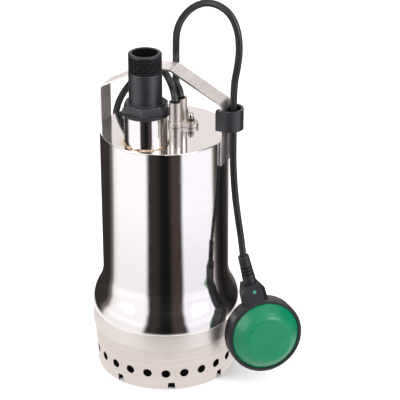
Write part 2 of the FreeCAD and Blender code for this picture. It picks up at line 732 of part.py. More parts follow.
def gland_stub():
    tube = gland_tube(COVER_UNDER_Z - 2.5, GLAND_SEAM_Z)
    return fuse([tube, gland_flange(0.0, GLAND_SEAM_Z - GLAND_FLANGE_T, GLAND_SEAM_Z)])


def gland_gasket():
    return gland_flange(GLAND_GASKET_INSET, GLAND_SEAM_Z, GLAND_CAP_Z)


def gland_cap():
    tube = gland_tube(GLAND_CAP_Z, GLAND_TOP_Z)
    return fuse([tube, gland_flange(0.0, GLAND_CAP_Z, GLAND_CAP_TOP_Z)])


def gland_grommet():
    bottom = GLAND_CAP_TOP_Z - GROMMET_DEPTH
    return gland_outline(LOBE_R - GLAND_WALL, LOBE_WAIST - GLAND_WALL, bottom, GLAND_TOP_Z)


def gland_bolts():
    head_z = GLAND_SEAM_Z - GLAND_FLANGE_T
    bolts = []
    for x, y in BOLT_PLACES:
        shank = cylinder(BOLT_R, head_z - 6.0, GLAND_CAP_TOP_Z + 8.0, x, y)
        head = hexagon(NUT_FLATS / math.sqrt(3.0), head_z - 4.0, head_z, x, y)
        dome = cylinder(3.7, head_z - 7.0, head_z - 4.0, x, y)
        tip = Part.makeSphere(3.7, V(x, y, head_z - 7.0))
        bolts.append(fuse([shank, head, dome, tip]))
    return Part.makeCompound(bolts)


def gland_nuts():
    seat = GLAND_CAP_TOP_Z
    nuts = []
    for x, y in BOLT_PLACES:
        washer = cylinder(5.0, seat, seat + 0.8, x, y)
        nut = hexagon(NUT_FLATS / math.sqrt(3.0), seat + 0.8, seat + 5.0, x, y)
        dome = cylinder(3.7, seat + 5.0, seat + 8.2, x, y)
        tip = Part.makeSphere(3.7, V(x, y, seat + 8.2))
        whole = fuse([washer, nut, dome, tip])
        nuts.append(whole.cut(cylinder(BOLT_R, seat - 1.0, seat + 8.0, x, y)))
    return Part.makeCompound(nuts)


# ---- handle and clip
def handle():
    foot_z = CASING_TOP_Z - HANDLE_LEG
    shoulder_z = CASING_TOP_Z + HANDLE_SHOULDER
    top_z = CASING_TOP_Z + HANDLE_TOP
    slope = math.atan2(top_z - shoulder_z, HANDLE_OUTER - HANDLE_FLAT)
    leg_step = HANDLE_T * math.tan((math.pi / 2.0 - slope) / 2.0)
    flat_step = HANDLE_T * math.tan(slope / 2.0)
    outer = [(HANDLE_OUTER, foot_z), (HANDLE_OUTER, shoulder_z), (HANDLE_FLAT, top_z)]
    inner = [(HANDLE_INNER, foot_z), (HANDLE_INNER, shoulder_z - leg_step)]
    inner += [(HANDLE_FLAT - flat_step, top_z - HANDLE_T)]
    right = outer + [(-r, z) for r, z in reversed(outer)]
    left = [(-r, z) for r, z in inner] + list(reversed(inner))
    corners = [V(r, -HANDLE_W / 2.0, z) for r, z in right + left]
    strap = Part.Face(Part.makePolygon(corners + corners[:1])).extrude(V(0, HANDLE_W, 0))
    strap = soften(strap, outer[1:] + [(-r, z) for r, z in outer[1:]], HANDLE_BEND_R + HANDLE_T)
    strap = soften(strap, inner[1:] + [(-r, z) for r, z in inner[1:]], HANDLE_BEND_R)
    return in_handle(strap.cut(cylinder(CASING_R, foot_z - 1.0, COVER_TOP_Z)))


def soften(shape, corners, radius):
    """Round the cross edges that stand on the given (x, z) corners."""
    chosen = []
    for edge in shape.Edges:
        middle = edge.BoundBox.Center
        crosswise = edge.BoundBox.YLength > 1.0 and edge.BoundBox.XLength + edge.BoundBox.ZLength < 0.01
        if crosswise and any(math.hypot(middle.x - x, middle.z - z) < 0.05 for x, z in corners):
            chosen.append(edge)
    return shape.makeFillet(radius, chosen)


def clip_outline(half, nose, z0, z1):
    """A D shape: flat towards the handle's strap, round on the cable's side."""
    flat = HANDLE_INNER - CLIP_HOOK
    centre = nose - half
    body = box(flat, centre, -half, half, z0, z1)
    return fuse([body, cylinder(half, z0, z1, centre, 0)])


def cable_clip():
    nose = HANDLE_OUTER + CLIP_REACH
    outer = clip_outline(CLIP_W / 2.0, nose, CLIP_Z, CLIP_TOP_Z)
    half = CLIP_W / 2.0 - CLIP_WALL
    inner_x = HANDLE_OUTER + 2.6
    keep = box(inner_x, nose, -half, half, CLIP_Z - 1.0, CLIP_TOP_Z + 1.0)
    hollow = clip_outline(half, nose - CLIP_WALL, CLIP_Z - 1.0, CLIP_TOP_Z + 1.0).common(keep)
    web_z = CLIP_Z + (CLIP_H - CLIP_WEB) / 2.0
    web = box(0, nose, -CLIP_W, CLIP_W, web_z, web_z + CLIP_WEB)
    slot = box(HANDLE_INNER, HANDLE_OUTER, -HANDLE_W / 2.0, HANDLE_W / 2.0, CLIP_Z - 1.0, CLIP_TOP_Z + 1.0)
    mouth_half = CLIP_MOUTH / 2.0
    mouth = box(0, HANDLE_INNER + 0.1, -mouth_half, mouth_half, CLIP_Z - 1.0, CLIP_TOP_Z + 1.0)
    bore = cylinder(CABLE_R, CLIP_Z - 1.0, CLIP_TOP_Z + 1.0, CABLE_RHO, 0)
    return in_handle(cut(outer, [hollow.cut(web), slot, mouth, bore]))


# ---- cords
LOOP_ROUTE = [
    V(*REAR_LOBE, GLAND_TOP_Z),
    handle_point(39.0, -36.4, 402.8),
    handle_point(36.0, -32.6, 405.9),
    handle_point(30.5, -25.5, 407.2),
    handle_point(23.5, -14.5, 406.5),
    handle_point(17.0, -1.0, 408.0),
    handle_point(11.5, 12.0, 409.5),
    handle_point(6.0, 24.0, 412.5),
    handle_point(1.8, 33.0, 421.5),
    handle_point(1.5, 34.0, 434.0),
    handle_point(3.0, 31.0, 446.0),
    handle_point(6.2, 27.0, 460.0),
    handle_point(14.0, 23.0, 476.0),
    handle_point(29.0, 18.0, 494.0),
    handle_point(50.5, 13.0, 506.5),
    handle_point(72.0, 8.0, 507.0),
    handle_point(89.0, 5.0, 497.5),
    handle_point(98.8, 2.5, 479.5),
    handle_point(102.0, 1.0, 456.0),
    handle_point(99.6, 0.3, 432.0),
    handle_point(CABLE_RHO, 0.0, CLIP_TOP_Z + 31.0),
    handle_point(CABLE_RHO, 0.0, CLIP_Z),
]

DROP_ROUTE = [
    handle_point(CABLE_RHO, 0.0, CLIP_Z - BEND_L),
    handle_point(CABLE_RHO, 0.0, CLIP_Z - BEND_L - 26.0),
    handle_point(97.8, -1.2, 268.0),
    handle_point(103.6, -4.2, 234.0),
    handle_point(110.2, -7.5, 204.0),
]

MAINS_ROUTE = [
    V(*FRONT_LOBE, GLAND_TOP_Z),
    handle_point(38.2, -52.2, 406.6),
    handle_point(32.6, -44.5, 411.0),
    handle_point(23.5, -30.5, 411.5),
    handle_point(13.5, -15.5, 410.6),
    handle_point(3.0, -1.0, 410.2),
    handle_point(-9.0, 12.5, 410.2),
    handle_point(-23.0, 22.5, 407.5),
    handle_point(-38.0, 27.0, 399.0),
    handle_point(-52.0, 29.0, 386.5),
    handle_point(-65.0, 30.5, 372.0),
    handle_point(-76.0, 32.5, 356.0),
    handle_point(-84.5, 35.0, 338.5),
    handle_point(-89.5, 38.5, 318.5),
    V(-67.0, 80.5, 289.0),
    V(-67.5, 91.0, 250.0),
    V(-66.0, 101.5, 208.0),
    V(-63.0, 113.5, 163.0),
    V(-59.5, 127.5, 119.0),
    V(-55.5, 144.0, 79.0),
    V(-50.5, 163.0, 49.5),
    V(-46.8, 184.0, 36.0),
    V(-46.2, 198.0, 33.5),
]

TAIL_ROUTE = [
    V(-55.5, 180.0, 5.7),
    V(-57.3, 205.0, 5.4),
    V(-54.5, 231.0, 6.2),
    V(-44.0, 255.0, 9.2),
    V(-25.0, 273.0, 14.5),
    V(-2.0, 280.0, 18.0),
]


def float_cable_loop():
    return cord("float_cable_loop", LOOP_ROUTE, CABLE_D)


def float_cable_bend():
    top = handle_point(CABLE_RHO, 0.0, 0.0)
    return cylinder(CABLE_R, CLIP_Z - BEND_L, CLIP_Z, top.x, top.y)


def float_cable_drop():
    end = FLOAT_PLACE.multVec(V(0, NECK_TOP + PROTECTOR_L, 0))
    return cord("float_cable_drop", DROP_ROUTE + [end], CABLE_D)


def mains_cable():
    return cord("mains_cable", MAINS_ROUTE, CABLE_D)


def mains_tail():
    return cord("mains_tail", TAIL_ROUTE, CABLE_D)


def mains_coil():
    step = CABLE_D * 0.9
    outline = [
        (COIL_IN_R, TIE_T),
        (COIL_OUT_R, TIE_T),
        (COIL_OUT_R, COIL_TOP_Z - 2.0 * CABLE_D),
        (COIL_OUT_R - step, COIL_TOP_Z),
        (COIL_IN_R + step, COIL_TOP_Z),
        (COIL_IN_R, COIL_TOP_Z - 2.0 * CABLE_D),
    ]
    return moved(turned(outline), COIL_X, COIL_Y)


def coil_tie():
    wrap = box(COIL_IN_R - TIE_T, COIL_OUT_R + TIE_T, -TIE_W / 2.0, TIE_W / 2.0, 0, COIL_TOP_Z + TIE_T)
    wrap = moved(spun(wrap, 40), COIL_X, COIL_Y)
    return wrap.cut(mains_coil())


def plug_part(shape):
    """Lay a shape made along +Z down along the plug's axis, which is +X."""
    end = TAIL_ROUTE[-1]
    lying = shape.copy()
    lying.rotate(V(0, 0, 0), V(0, 1, 0), 90)
    lying.translate(end)
    return lying


def mains_plug():
    back = PLUG_RELIEF
    front = PLUG_RELIEF + PLUG_L
    outline = [
        (0.0, 0.0),
        (5.8, 0.0),
        (8.5, back),
        (11.0, back + 3.0),
        (13.5, back + 16.0),
        (PLUG_R, back + 20.0),
        (PLUG_R, front),
        (0.0, front),
    ]
    return plug_part(turned(outline))


def plug_pins():
    front = PLUG_RELIEF + PLUG_L
    half = PIN_SPACING / 2.0
    pins = [cylinder(PIN_R, front, front + PIN_L, 0, y) for y in (-half, half)]
    return Part.makeCompound([plug_part(pin) for pin in pins])


# ---- float switch, drawn with x across, y towards the cable and z out of its green face
def float_frame():
    face = V(FLOAT_FACE).normalize()
    up = (FLOAT_UP - face * FLOAT_UP.dot(face)).normalize()
    across = up.cross(face)
    return FreeCAD.Placement(FLOAT_CENTRE, FreeCAD.Rotation(across, up, face, "ZYX"))


FLOAT_PLACE = float_frame()
LEDGE_Z = FLOAT_HALF_T - FLOAT_LID_RECESS - 3.0
LEDGE_BORE_R = FLOAT_LID_R - 3.5
FLOOR_Z = FLOAT_WALL - FLOAT_HALF_T
CARRIER_TOP_Z = FLOOR_Z + 3.0
BALL_Z = CARRIER_TOP_Z + BALL_R + SWITCH_GAP
LEVER_Y = BALL_START + BALL_TRAVEL + BALL_R - 1.9


def in_float(shape):
    copy = shape.copy()
    copy.Placement = FLOAT_PLACE.multiply(copy.Placement)
    return copy


def neck_block():
    half = NECK_HALF_W
    corners = [(half, 40), (half - 1.0, NECK_SHOULDER), (NECK_TOP_HALF, NECK_TOP)]
    plan = prism(corners + [(-x, y) for x, y in reversed(corners)], -20, 20)
    depth = NECK_HALF_D
    bevel = 6.5
    side = [(-half, bevel - depth), (bevel - half, -depth), (half - bevel, -depth), (half, bevel - depth)]
    side += [(half, depth - bevel), (half - bevel, depth), (bevel - half, depth), (-half, depth - bevel)]
    section = prism(side, -NECK_TOP, -40)
    section.rotate(V(0, 0, 0), V(1, 0, 0), 90)
    return plan.common(section)


def float_housing():
    body = cylinder(FLOAT_R, -FLOAT_HALF_T, FLOAT_HALF_T)
    rims = [edge for edge in body.Edges if edge.BoundBox.ZLength < 0.01]
    body = body.makeFillet(2.4, rims)
    low = -FLOAT_HALF_T
    back = turned([(0, low - FLOAT_BACK_H), (26.0, low - FLOAT_BACK_H), (41.0, low), (0, low)])
    body = fuse([body, neck_block(), back])
    room = cylinder(LEDGE_BORE_R, FLOOR_Z, LEDGE_Z + 1.0)
    mouth = cylinder(FLOAT_LID_R, LEDGE_Z, FLOAT_HALF_T + 5.0)
    groove = ring(FLOAT_LID_R - 0.5, FLOAT_LID_R - 2.5, LEDGE_Z - 1.6, LEDGE_Z + 0.5)
    wire_hole = Part.makeCylinder(CABLE_R, NECK_TOP, V(0, FLOAT_R / 2.0, 0), V(0, 1, 0))
    pin_hole = cylinder(MARKER_R, NECK_HALF_D - 3.0, NECK_HALF_D + 1.0, 0, PIN_UP)
    return in_float(cut(body, [room, mouth, groove, wire_hole, pin_hole]))


def float_seal():
    return in_float(ring(FLOAT_LID_R - 0.5, FLOAT_LID_R - 2.5, LEDGE_Z - 1.6, LEDGE_Z))


def float_cover():
    base = LEDGE_Z
    brim = LEDGE_Z + 3.0
    top = brim + FLOAT_DOME_H
    wall = 2.5
    flank = FLOAT_LID_R - FLOAT_DOME_TOP_R
    outline = [
        (FLOAT_LID_R, base),
        (FLOAT_LID_R, brim),
        (FLOAT_LID_R - 0.9, brim + 1.4),
        (FLOAT_LID_R - 0.24 * flank, brim + 6.0),
        (FLOAT_DOME_TOP_R + 0.46 * flank, top - 6.2),
        (FLOAT_DOME_TOP_R + 0.2 * flank, top - 2.2),
        (FLOAT_DOME_TOP_R + 0.06 * flank, top - 0.5),
        (FLOAT_DOME_TOP_R - 0.8, top),
        (0.0, top),
        (0.0, top - wall),
        (FLOAT_DOME_TOP_R, top - wall - 0.6),
        (FLOAT_DOME_TOP_R + 0.32 * flank, top - 8.0),
        (LEDGE_BORE_R - 0.5, base),
    ]
    return in_float(turned(outline))


def float_pin():
    return in_float(cylinder(MARKER_R, NECK_HALF_D - 3.0, NECK_HALF_D + 0.4, 0, PIN_UP))


def float_bend_protector():
    outline = [(0.0, 0.0), (8.6, 0.0), (8.3, 13.0)]
    for groove in range(3):
        low = 13.0 + 4.6 * groove
        rib_r = 8.1 - 0.2 * groove
        outline += [(6.2, low + 0.3), (6.2, low + 1.9), (rib_r, low + 2.2), (rib_r, low + 4.6)]
    outline += [(7.5, 27.2), (7.3, PROTECTOR_L - 1.0), (6.6, PROTECTOR_L), (0.0, PROTECTOR_L)]
    body = turned(outline)
    body.rotate(V(0, 0, 0), V(1, 0, 0), -90)
    return in_float(moved(body, 0, NECK_TOP))


def switch_carrier():
    plate = cylinder(LEDGE_BORE_R - 0.5, FLOOR_Z, CARRIER_TOP_Z)
    channel = BALL_R + SWITCH_GAP
    low_y = BALL_START - BALL_R - SWITCH_GAP
    rails = [box(channel, channel + 2.0, low_y - 2.0, LEVER_Y, CARRIER_TOP_Z, BALL_Z)]
    rails += [box(-channel - 2.0, -channel, low_y - 2.0, LEVER_Y, CARRIER_TOP_Z, BALL_Z)]
    stop = box(-channel - 2.0, channel + 2.0, low_y - 2.0, low_y, CARRIER_TOP_Z, BALL_Z)
    return in_float(fuse([plate, stop] + rails))


def microswitch():
    low_y = LEVER_Y + 4.0
    body = box(-10.0, 10.0, low_y, low_y + 10.0, CARRIER_TOP_Z, CARRIER_TOP_Z + 10.0)
    ear = box(-11.6, -8.4, low_y - 3.4, low_y, CARRIER_TOP_Z, CARRIER_TOP_Z + 10.0)
    pivot_room = cylinder(1.2 + SWITCH_GAP, CARRIER_TOP_Z + 1.0, CARRIER_TOP_Z + 9.0, -10.0, LEVER_Y + 2.0)
    lever_room = box(-9.0, -8.0, low_y - 4.0, low_y + 0.6, CARRIER_TOP_Z + 1.0, CARRIER_TOP_Z + 9.0)
    return in_float(cut(fuse([body, ear]), [pivot_room, lever_room]))


def switch_lever():
    pivot = cylinder(1.2, CARRIER_TOP_Z + 2.0, CARRIER_TOP_Z + 8.0, -10.0, LEVER_Y + 2.0)
    blade = box(-10.0, 7.0, LEVER_Y + 1.2, LEVER_Y + 1.8, CARRIER_TOP_Z + 2.0, CARRIER_TOP_Z + 8.0)
    return in_float(fuse([pivot, blade]))


def switch_ball():
    return in_float(Part.makeSphere(BALL_R, V(0, BALL_START, BALL_Z)))


NODES = [
    outer_casing, top_cover, strainer, casing_gasket, suction_plate, diffuser, oil_chamber, oil_plug,
    seal_seat, lip_seal, lower_bearing_bracket, upper_bearing_bracket, bearing_outer_rings,
    stator_core, stator_windings, motor_shell, motor_lid, cable_duct, motor_spacers, tie_studs,
    stud_nuts, capacitor, discharge_socket, socket_weld, discharge_gasket, hose_adaptor,
    gland_stub, gland_gasket, gland_cap, gland_grommet, gland_bolts, gland_nuts, handle, cable_clip,
    float_cable_loop, float_cable_bend, mains_cable, mains_coil, coil_tie, mains_tail, mains_plug,
    plug_pins, shaft, rotor_core, rotor_end_rings, impeller, impeller_nut, seal_rotating_ring,
    bearing_inner_rings, bearing_balls, float_cable_drop, float_bend_protector, float_housing,
    float_cover, float_seal, float_pin, switch_carrier, microswitch, switch_lever, switch_ball,
]


def main():
    os.makedirs("parts", exist_ok=True)
    for build in NODES:
        name = build.__name__
        shape = build()
        low = shape.BoundBox
        print(f"{name}: solids {len(shape.Solids)} valid {shape.isValid()}", end=" ")
        print(f"volume {shape.Volume:.0f} z {low.ZMin:.1f} {low.ZMax:.1f}")
        shape.exportStep(f"parts/{name}.step")


main()
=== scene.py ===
import math

import bpy
from bpy.props import FloatProperty, FloatVectorProperty, IntProperty, PointerProperty
from bpy.types import Operator, Panel, PropertyGroup
from mathutils import Euler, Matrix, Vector


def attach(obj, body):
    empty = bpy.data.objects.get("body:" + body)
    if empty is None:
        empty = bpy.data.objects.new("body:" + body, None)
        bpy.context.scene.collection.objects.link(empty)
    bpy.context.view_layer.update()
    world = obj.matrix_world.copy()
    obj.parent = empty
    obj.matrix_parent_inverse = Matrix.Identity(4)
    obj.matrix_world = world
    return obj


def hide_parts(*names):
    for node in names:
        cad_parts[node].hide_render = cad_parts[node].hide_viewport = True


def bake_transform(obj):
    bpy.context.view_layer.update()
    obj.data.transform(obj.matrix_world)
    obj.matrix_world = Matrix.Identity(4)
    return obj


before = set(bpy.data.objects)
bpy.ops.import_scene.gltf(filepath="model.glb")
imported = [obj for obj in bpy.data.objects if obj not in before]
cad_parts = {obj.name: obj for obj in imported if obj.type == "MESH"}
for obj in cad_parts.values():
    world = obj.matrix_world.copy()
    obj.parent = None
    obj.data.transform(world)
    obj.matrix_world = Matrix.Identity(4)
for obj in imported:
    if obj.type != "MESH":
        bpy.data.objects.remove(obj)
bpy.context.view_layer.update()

bl_info = {
    "name": "Submersible Sump Pump",
    "version": (1, 0, 0),
    "blender": (4, 5, 0),
    "location": "View3D > Sidebar > Sump Pump",
    "description": "Finishes, cables, outlet, float switch and studio of a stainless sump pump",
    "category": "Add Mesh",
}


# ---- places that the pump's own drawing gives, in metres
HANDLE_TURN = math.radians(-25.0)
GLAND_AXIS = (0.0616 * math.cos(math.radians(-74.1)), 0.0616 * math.sin(math.radians(-74.1)))
SOCKET_AXIS = (0.0492 * math.cos(math.radians(-117.9)), 0.0492 * math.sin(math.radians(-117.9)))
LOBE_OFFSET = 0.00785
COVER_TOP = 0.3345
CREASE = 0.0845
STRAINER_SKIN = (0.0698, 0.0913)  # middle of the strainer's wall: growth with height, and radius at the floor
GLAND_TOP = 0.3983
CLIP_BASE = 0.351
CLIP_TOP = 0.378
BEND_LENGTH = 0.020
CABLE_OUT = 0.095
FLOAT_CENTRE = Vector((0.1266, -0.0650, 0.0688))
FLOAT_FACE = Vector((0.27, -0.954, 0.13)).normalized()
FLOAT_RISE = Vector((-0.2357, 0.0655, 0.9696))
FLOAT_RISE = (FLOAT_RISE - FLOAT_FACE * FLOAT_RISE.dot(FLOAT_FACE)).normalized()
FLOAT_ACROSS = FLOAT_RISE.cross(FLOAT_FACE)
COIL_CENTRE = (0.012, 0.187)
WELD_RADIUS = 0.0276
BORE_RADIUS = 0.01585
NECK_RADIUS = 0.02095
THREAD_START = 0.4285
THREAD_TURNS = 10.0

# ---- the set
CAMERA_PLACE = (0.0, -1.8818, 1.1425)
CAMERA_TURN = (64.196, 0.0, -1.380)  # degrees
SENSOR_WIDTH = 36.0
# painted shade: a black disc on the floor inside the strainer stands in for the shade under the pump
FOOT_MAT = (0.086, 0.0003)  # radius and height
BOARD_DEPTH = 0.0005
NEAR_PAPER = (0.25, 0.29)  # from the pump's axis, where the pale paper gives way to the boards
FAR_SHADE = (0.38, 0.60)  # and where the boards grow brighter
CARD_TOPS = (0.45, 0.70)  # rise of a mirrored ray, where the boards give way to the pale ceiling
LAMP_AIM = (0.0, 0.0, 0.2)


def strap(out, across, up):
    """A point in the handle's directions: out from the pump's axis, across the strap and up."""
    cosine, sine = math.cos(HANDLE_TURN), math.sin(HANDLE_TURN)
    return (out * cosine - across * sine, out * sine + across * cosine, up)


def lobe(across):
    """The middle of one of the gland's two round lobes, at the gland's top."""
    step = strap(0.0, across, GLAND_TOP)
    return (GLAND_AXIS[0] + step[0], GLAND_AXIS[1] + step[1], GLAND_TOP)


def in_float(across, rise, out=0.0):
    """A point of the float switch: across it, up towards its cable and out of its green face."""
    return FLOAT_CENTRE + FLOAT_ACROSS * across + FLOAT_RISE * rise + FLOAT_FACE * out


# ---- cable routes
FLOAT_CABLE_ROUTE = [
    lobe(LOBE_OFFSET),
    strap(0.0390, -0.0364, 0.4028),
    strap(0.0360, -0.0326, 0.4059),
    strap(0.0305, -0.0255, 0.4072),
    strap(0.0235, -0.0145, 0.4065),
    strap(0.0170, -0.0010, 0.4080),
    strap(0.0115, 0.0120, 0.4095),
    strap(0.0060, 0.0240, 0.4125),
    strap(0.0018, 0.0330, 0.4215),
    strap(0.0015, 0.0340, 0.4340),
    strap(0.0030, 0.0310, 0.4460),
    strap(0.0062, 0.0270, 0.4600),
    strap(0.0140, 0.0230, 0.4760),
    strap(0.0290, 0.0180, 0.4940),
    strap(0.0505, 0.0130, 0.5065),
    strap(0.0720, 0.0080, 0.5070),
    strap(0.0890, 0.0050, 0.4975),
    strap(0.0988, 0.0025, 0.4795),
    strap(0.1020, 0.0010, 0.4560),
    strap(0.0996, 0.0003, 0.4320),
    strap(CABLE_OUT, 0.0, CLIP_TOP + 0.031),
    strap(CABLE_OUT, 0.0, CLIP_BASE),
    strap(CABLE_OUT, 0.0, CLIP_BASE - BEND_LENGTH),
    strap(CABLE_OUT, 0.0, CLIP_BASE - BEND_LENGTH - 0.026),
    strap(0.0978, -0.0012, 0.2680),
    strap(0.1036, -0.0042, 0.2340),
    strap(0.1102, -0.0075, 0.2040),
    in_float(0.0, 0.115),
]

MAINS_ROUTE = [
    lobe(-LOBE_OFFSET),
    strap(0.0382, -0.0522, 0.4066),
    strap(0.0326, -0.0445, 0.4110),
    strap(0.0235, -0.0305, 0.4115),
    strap(0.0135, -0.0155, 0.4106),
    strap(0.0030, -0.0010, 0.4102),
    strap(-0.0090, 0.0125, 0.4102),
    strap(-0.0230, 0.0225, 0.4075),
    strap(-0.0380, 0.0270, 0.3990),
    strap(-0.0520, 0.0290, 0.3865),
    strap(-0.0650, 0.0305, 0.3720),
    strap(-0.0760, 0.0325, 0.3560),
    strap(-0.0845, 0.0350, 0.3385),
    strap(-0.0895, 0.0385, 0.3185),
    (-0.0670, 0.0805, 0.2890),
    (-0.0675, 0.0910, 0.2500),
    (-0.0660, 0.1015, 0.2080),
    (-0.0630, 0.1135, 0.1630),
    (-0.0595, 0.1275, 0.1190),
    (-0.0555, 0.1440, 0.0790),
    (-0.0505, 0.1630, 0.0495),
    (-0.0468, 0.1840, 0.0360),
    (-0.0462, 0.1980, 0.0335),
]

# Each turn of the coil: its radius and its height, from the top layer down.
COIL_TURNS = [
    (0.0585, 0.0327), (0.0495, 0.0327),
    (0.0450, 0.0237), (0.0540, 0.0237), (0.0630, 0.0237),
    (0.0675, 0.0147), (0.0585, 0.0147), (0.0495, 0.0147), (0.0405, 0.0147),
    (0.0405, 0.0057), (0.0495, 0.0057), (0.0585, 0.0057), (0.0675, 0.0057),
]

TAIL_ROUTE = [
    (-0.0555, 0.1800, 0.0057),
    (-0.0573, 0.2050, 0.0054),
    (-0.0545, 0.2310, 0.0062),
    (-0.0440, 0.2550, 0.0092),
    (-0.0250, 0.2730, 0.0145),
    (-0.0020, 0.2800, 0.0180),
]


def coil_points(per_turn=16):
    """The coil's turns, clockwise from the side where the cable comes down.

    A turn moves sideways to the next one in its third quarter, and down a layer in its last quarter,
    so that the turns stay a diameter apart. The curve runs inside its points, so they stand further out.
    """
    stand_out = 1.0 / (0.5 + 0.5 * math.cos(2.0 * math.pi / per_turn)) ** 0.5
    points = []
    for i, (radius, height) in enumerate(COIL_TURNS):
        next_radius, next_height = COIL_TURNS[min(i + 1, len(COIL_TURNS) - 1)]
        same_layer = next_height == height
        for k in range(per_turn):
            quarter = 4.0 * k / per_turn
            share = quarter - 2.0 if same_layer else quarter - 3.0
            share = max(0.0, min(1.0, share))
            share = share * share * (3.0 - 2.0 * share)
            angle = math.pi - 2.0 * math.pi * k / per_turn
            r = (radius + (next_radius - radius) * share) * stand_out
            z = height + (next_height - height) * share
            points.append((COIL_CENTRE[0] + r * math.cos(angle), COIL_CENTRE[1] + r * math.sin(angle), z))
    return points[1:]


# ---- making things
def linear(code):
    """An sRGB hex value as linear red, green, blue and alpha."""
    channels = [int(code[i : i + 2], 16) / 255.0 for i in (1, 3, 5)]
    return tuple(c / 12.92 if c <= 0.04045 else ((c + 0.055) / 1.055) ** 2.4 for c in channels) + (1.0,)


def colour_property(name, description, code):
    return FloatVectorProperty(name=name, description=description, subtype="COLOR", size=4,
                               min=0.0, max=1.0, default=linear(code))


def add(tree, kind, inputs=None, **settings):
    """One node with its settings, and its inputs: a plain value, or the socket that feeds it."""
    made = tree.nodes.new(kind)
    for name, value in settings.items():
        setattr(made, name, value)
    for key, value in (inputs or {}).items():
        if isinstance(value, bpy.types.NodeSocket):
            tree.links.new(value, made.inputs[key])
        else:
            made.inputs[key].default_value = value
    return made


def new_material(name, base, roughness, metallic=0.0, **sockets):
    """A material with its Principled shader; returns it, its tree, the shader and Object coordinates."""
    made = bpy.data.materials.new(name)
    made.use_nodes = True
    tree = made.node_tree
    tree.nodes.clear()
    shader = add(tree, "ShaderNodeBsdfPrincipled",
                 {"Base Color": base, "Roughness": roughness, "Metallic": metallic, **sockets})
    add(tree, "ShaderNodeOutputMaterial", {"Surface": shader.outputs[0]})
    place = add(tree, "ShaderNodeTexCoord").outputs["Object"]
    return made, tree, shader, place


def grain(tree, place, spacing, detail=2.0, roughness=0.5):
    """Noise whose features are spacing metres apart along x, y and z; returns its value."""
    scaled = add(tree, "ShaderNodeMapping", {"Vector": place, "Scale": tuple(1.0 / s for s in spacing)})
    noise = add(tree, "ShaderNodeTexNoise", {"Vector": scaled.outputs[0], "Scale": 1.0, "Detail": detail,
                                             "Roughness": roughness})
    return noise.outputs["Fac"]


def spread(tree, value, low, high, from_low=0.3, from_high=0.7):
    """A value from noise, stretched to run from low to high."""
    return add(tree, "ShaderNodeMapRange", {"Value": value, "From Min": from_low, "From Max": from_high,
                                            "To Min": low, "To Max": high}).outputs[0]


def blended(tree, share, first, second):
    """Two colours mixed by a share."""
    mix = add(tree, "ShaderNodeMix", {0: share}, data_type="RGBA")
    for socket, value in ((mix.inputs[6], first), (mix.inputs[7], second)):
        if isinstance(value, bpy.types.NodeSocket):
            tree.links.new(value, socket)
        else:
            socket.default_value = value
    return mix.outputs[2]


def bumped(tree, shader, layers):
    """Bump from (height, depth in metres) layers, one on another."""
    normal = None
    for height, depth in layers:
        inputs = {"Height": height, "Strength": 1.0, "Distance": depth}
        if normal is not None:
            inputs["Normal"] = normal
        normal = add(tree, "ShaderNodeBump", inputs).outputs[0]
    tree.links.new(normal, shader.inputs["Normal"])


def paint(names, material):
    """Gives CAD nodes their material."""
    for name in names:
        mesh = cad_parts[name].data
        mesh.materials.clear()
        mesh.materials.append(material)


def linked(name, data):
    made = bpy.data.objects.new(name, data)
    bpy.context.scene.collection.objects.link(made)
    return made


def grid_mesh(name, rows, closed_rows=False):
    """A surface over closed rings of points; closed_rows joins the last ring to the first."""
    count = len(rows[0])
    verts = [p for row in rows for p in row]
    faces = []
    for i in range(len(rows) if closed_rows else len(rows) - 1):
        low, high = i * count, ((i + 1) % len(rows)) * count
        for j in range(count):
            k = (j + 1) % count
            faces.append((low + j, low + k, high + k, high + j))
    mesh = bpy.data.meshes.new(name)
    mesh.from_pydata(verts, [], faces)
    mesh.update()
    return mesh


def smooth(mesh, angle=math.radians(35.0)):
    """Smooth shading, with the edges sharper than the angle kept sharp."""
    mesh.shade_smooth()
    mesh.set_sharp_from_angle(angle=angle)


def route_curve(name, points, diameter, steps):
    """One NURBS spline through the air by its control points, with a round section when it has a diameter."""
    curve = bpy.data.curves.new(name, "CURVE")
    curve.dimensions = "3D"
    curve.resolution_u = steps
    spline = curve.splines.new("NURBS")
    spline.points.add(len(points) - 1)
    for point, place in zip(spline.points, points):
        point.co = (*place, 1.0)
    spline.order_u = 3
    spline.use_endpoint_u = True
    curve.bevel_depth = diameter / 2.0
    curve.bevel_resolution = 6
    curve.use_fill_caps = diameter > 0.0
    return curve


def evaluated_mesh(curve_or_object, name):
    """The plain mesh of a curve or of an object with modifiers."""
    made = curve_or_object
    if isinstance(made, bpy.types.Curve):
        made = linked(name + "_line", made)
    view = bpy.context.evaluated_depsgraph_get()
    mesh = bpy.data.meshes.new_from_object(made.evaluated_get(view))
    mesh.name = name
    bpy.data.objects.remove(made)
    return mesh


# ---- finishes: steel
def polished_steel(name, settings, extra=None):
    """304 stainless, drawn and mirror-buffed: clear reflections with soft waves and faint buffing rings.

    Real buffing lines are 0.1 mm apart, too fine to show, so they are drawn 1.6 mm apart.
    """
    made, tree, shader, place = new_material(name, settings.polished, 0.07, 1.0)
    rings = grain(tree, place, (0.35, 0.35, 0.0016))
    waves = grain(tree, place, (0.05, 0.05, 0.16), detail=1.0)
    smears = grain(tree, place, (0.03, 0.03, 0.012), detail=4.0)
    rough = spread(tree, smears, 0.05, 0.12)
    tone = blended(tree, spread(tree, rings, 0.0, 0.4), settings.polished, linear("#EBE8E6"))
    if extra is not None:
        tone, rough = extra(tree, place, tone, rough, settings)
    tree.links.new(tone, shader.inputs["Base Color"])
    tree.links.new(rough, shader.inputs["Roughness"])
    bumped(tree, shader, [(waves, 0.0003), (rings, 0.0000002)])
    return made


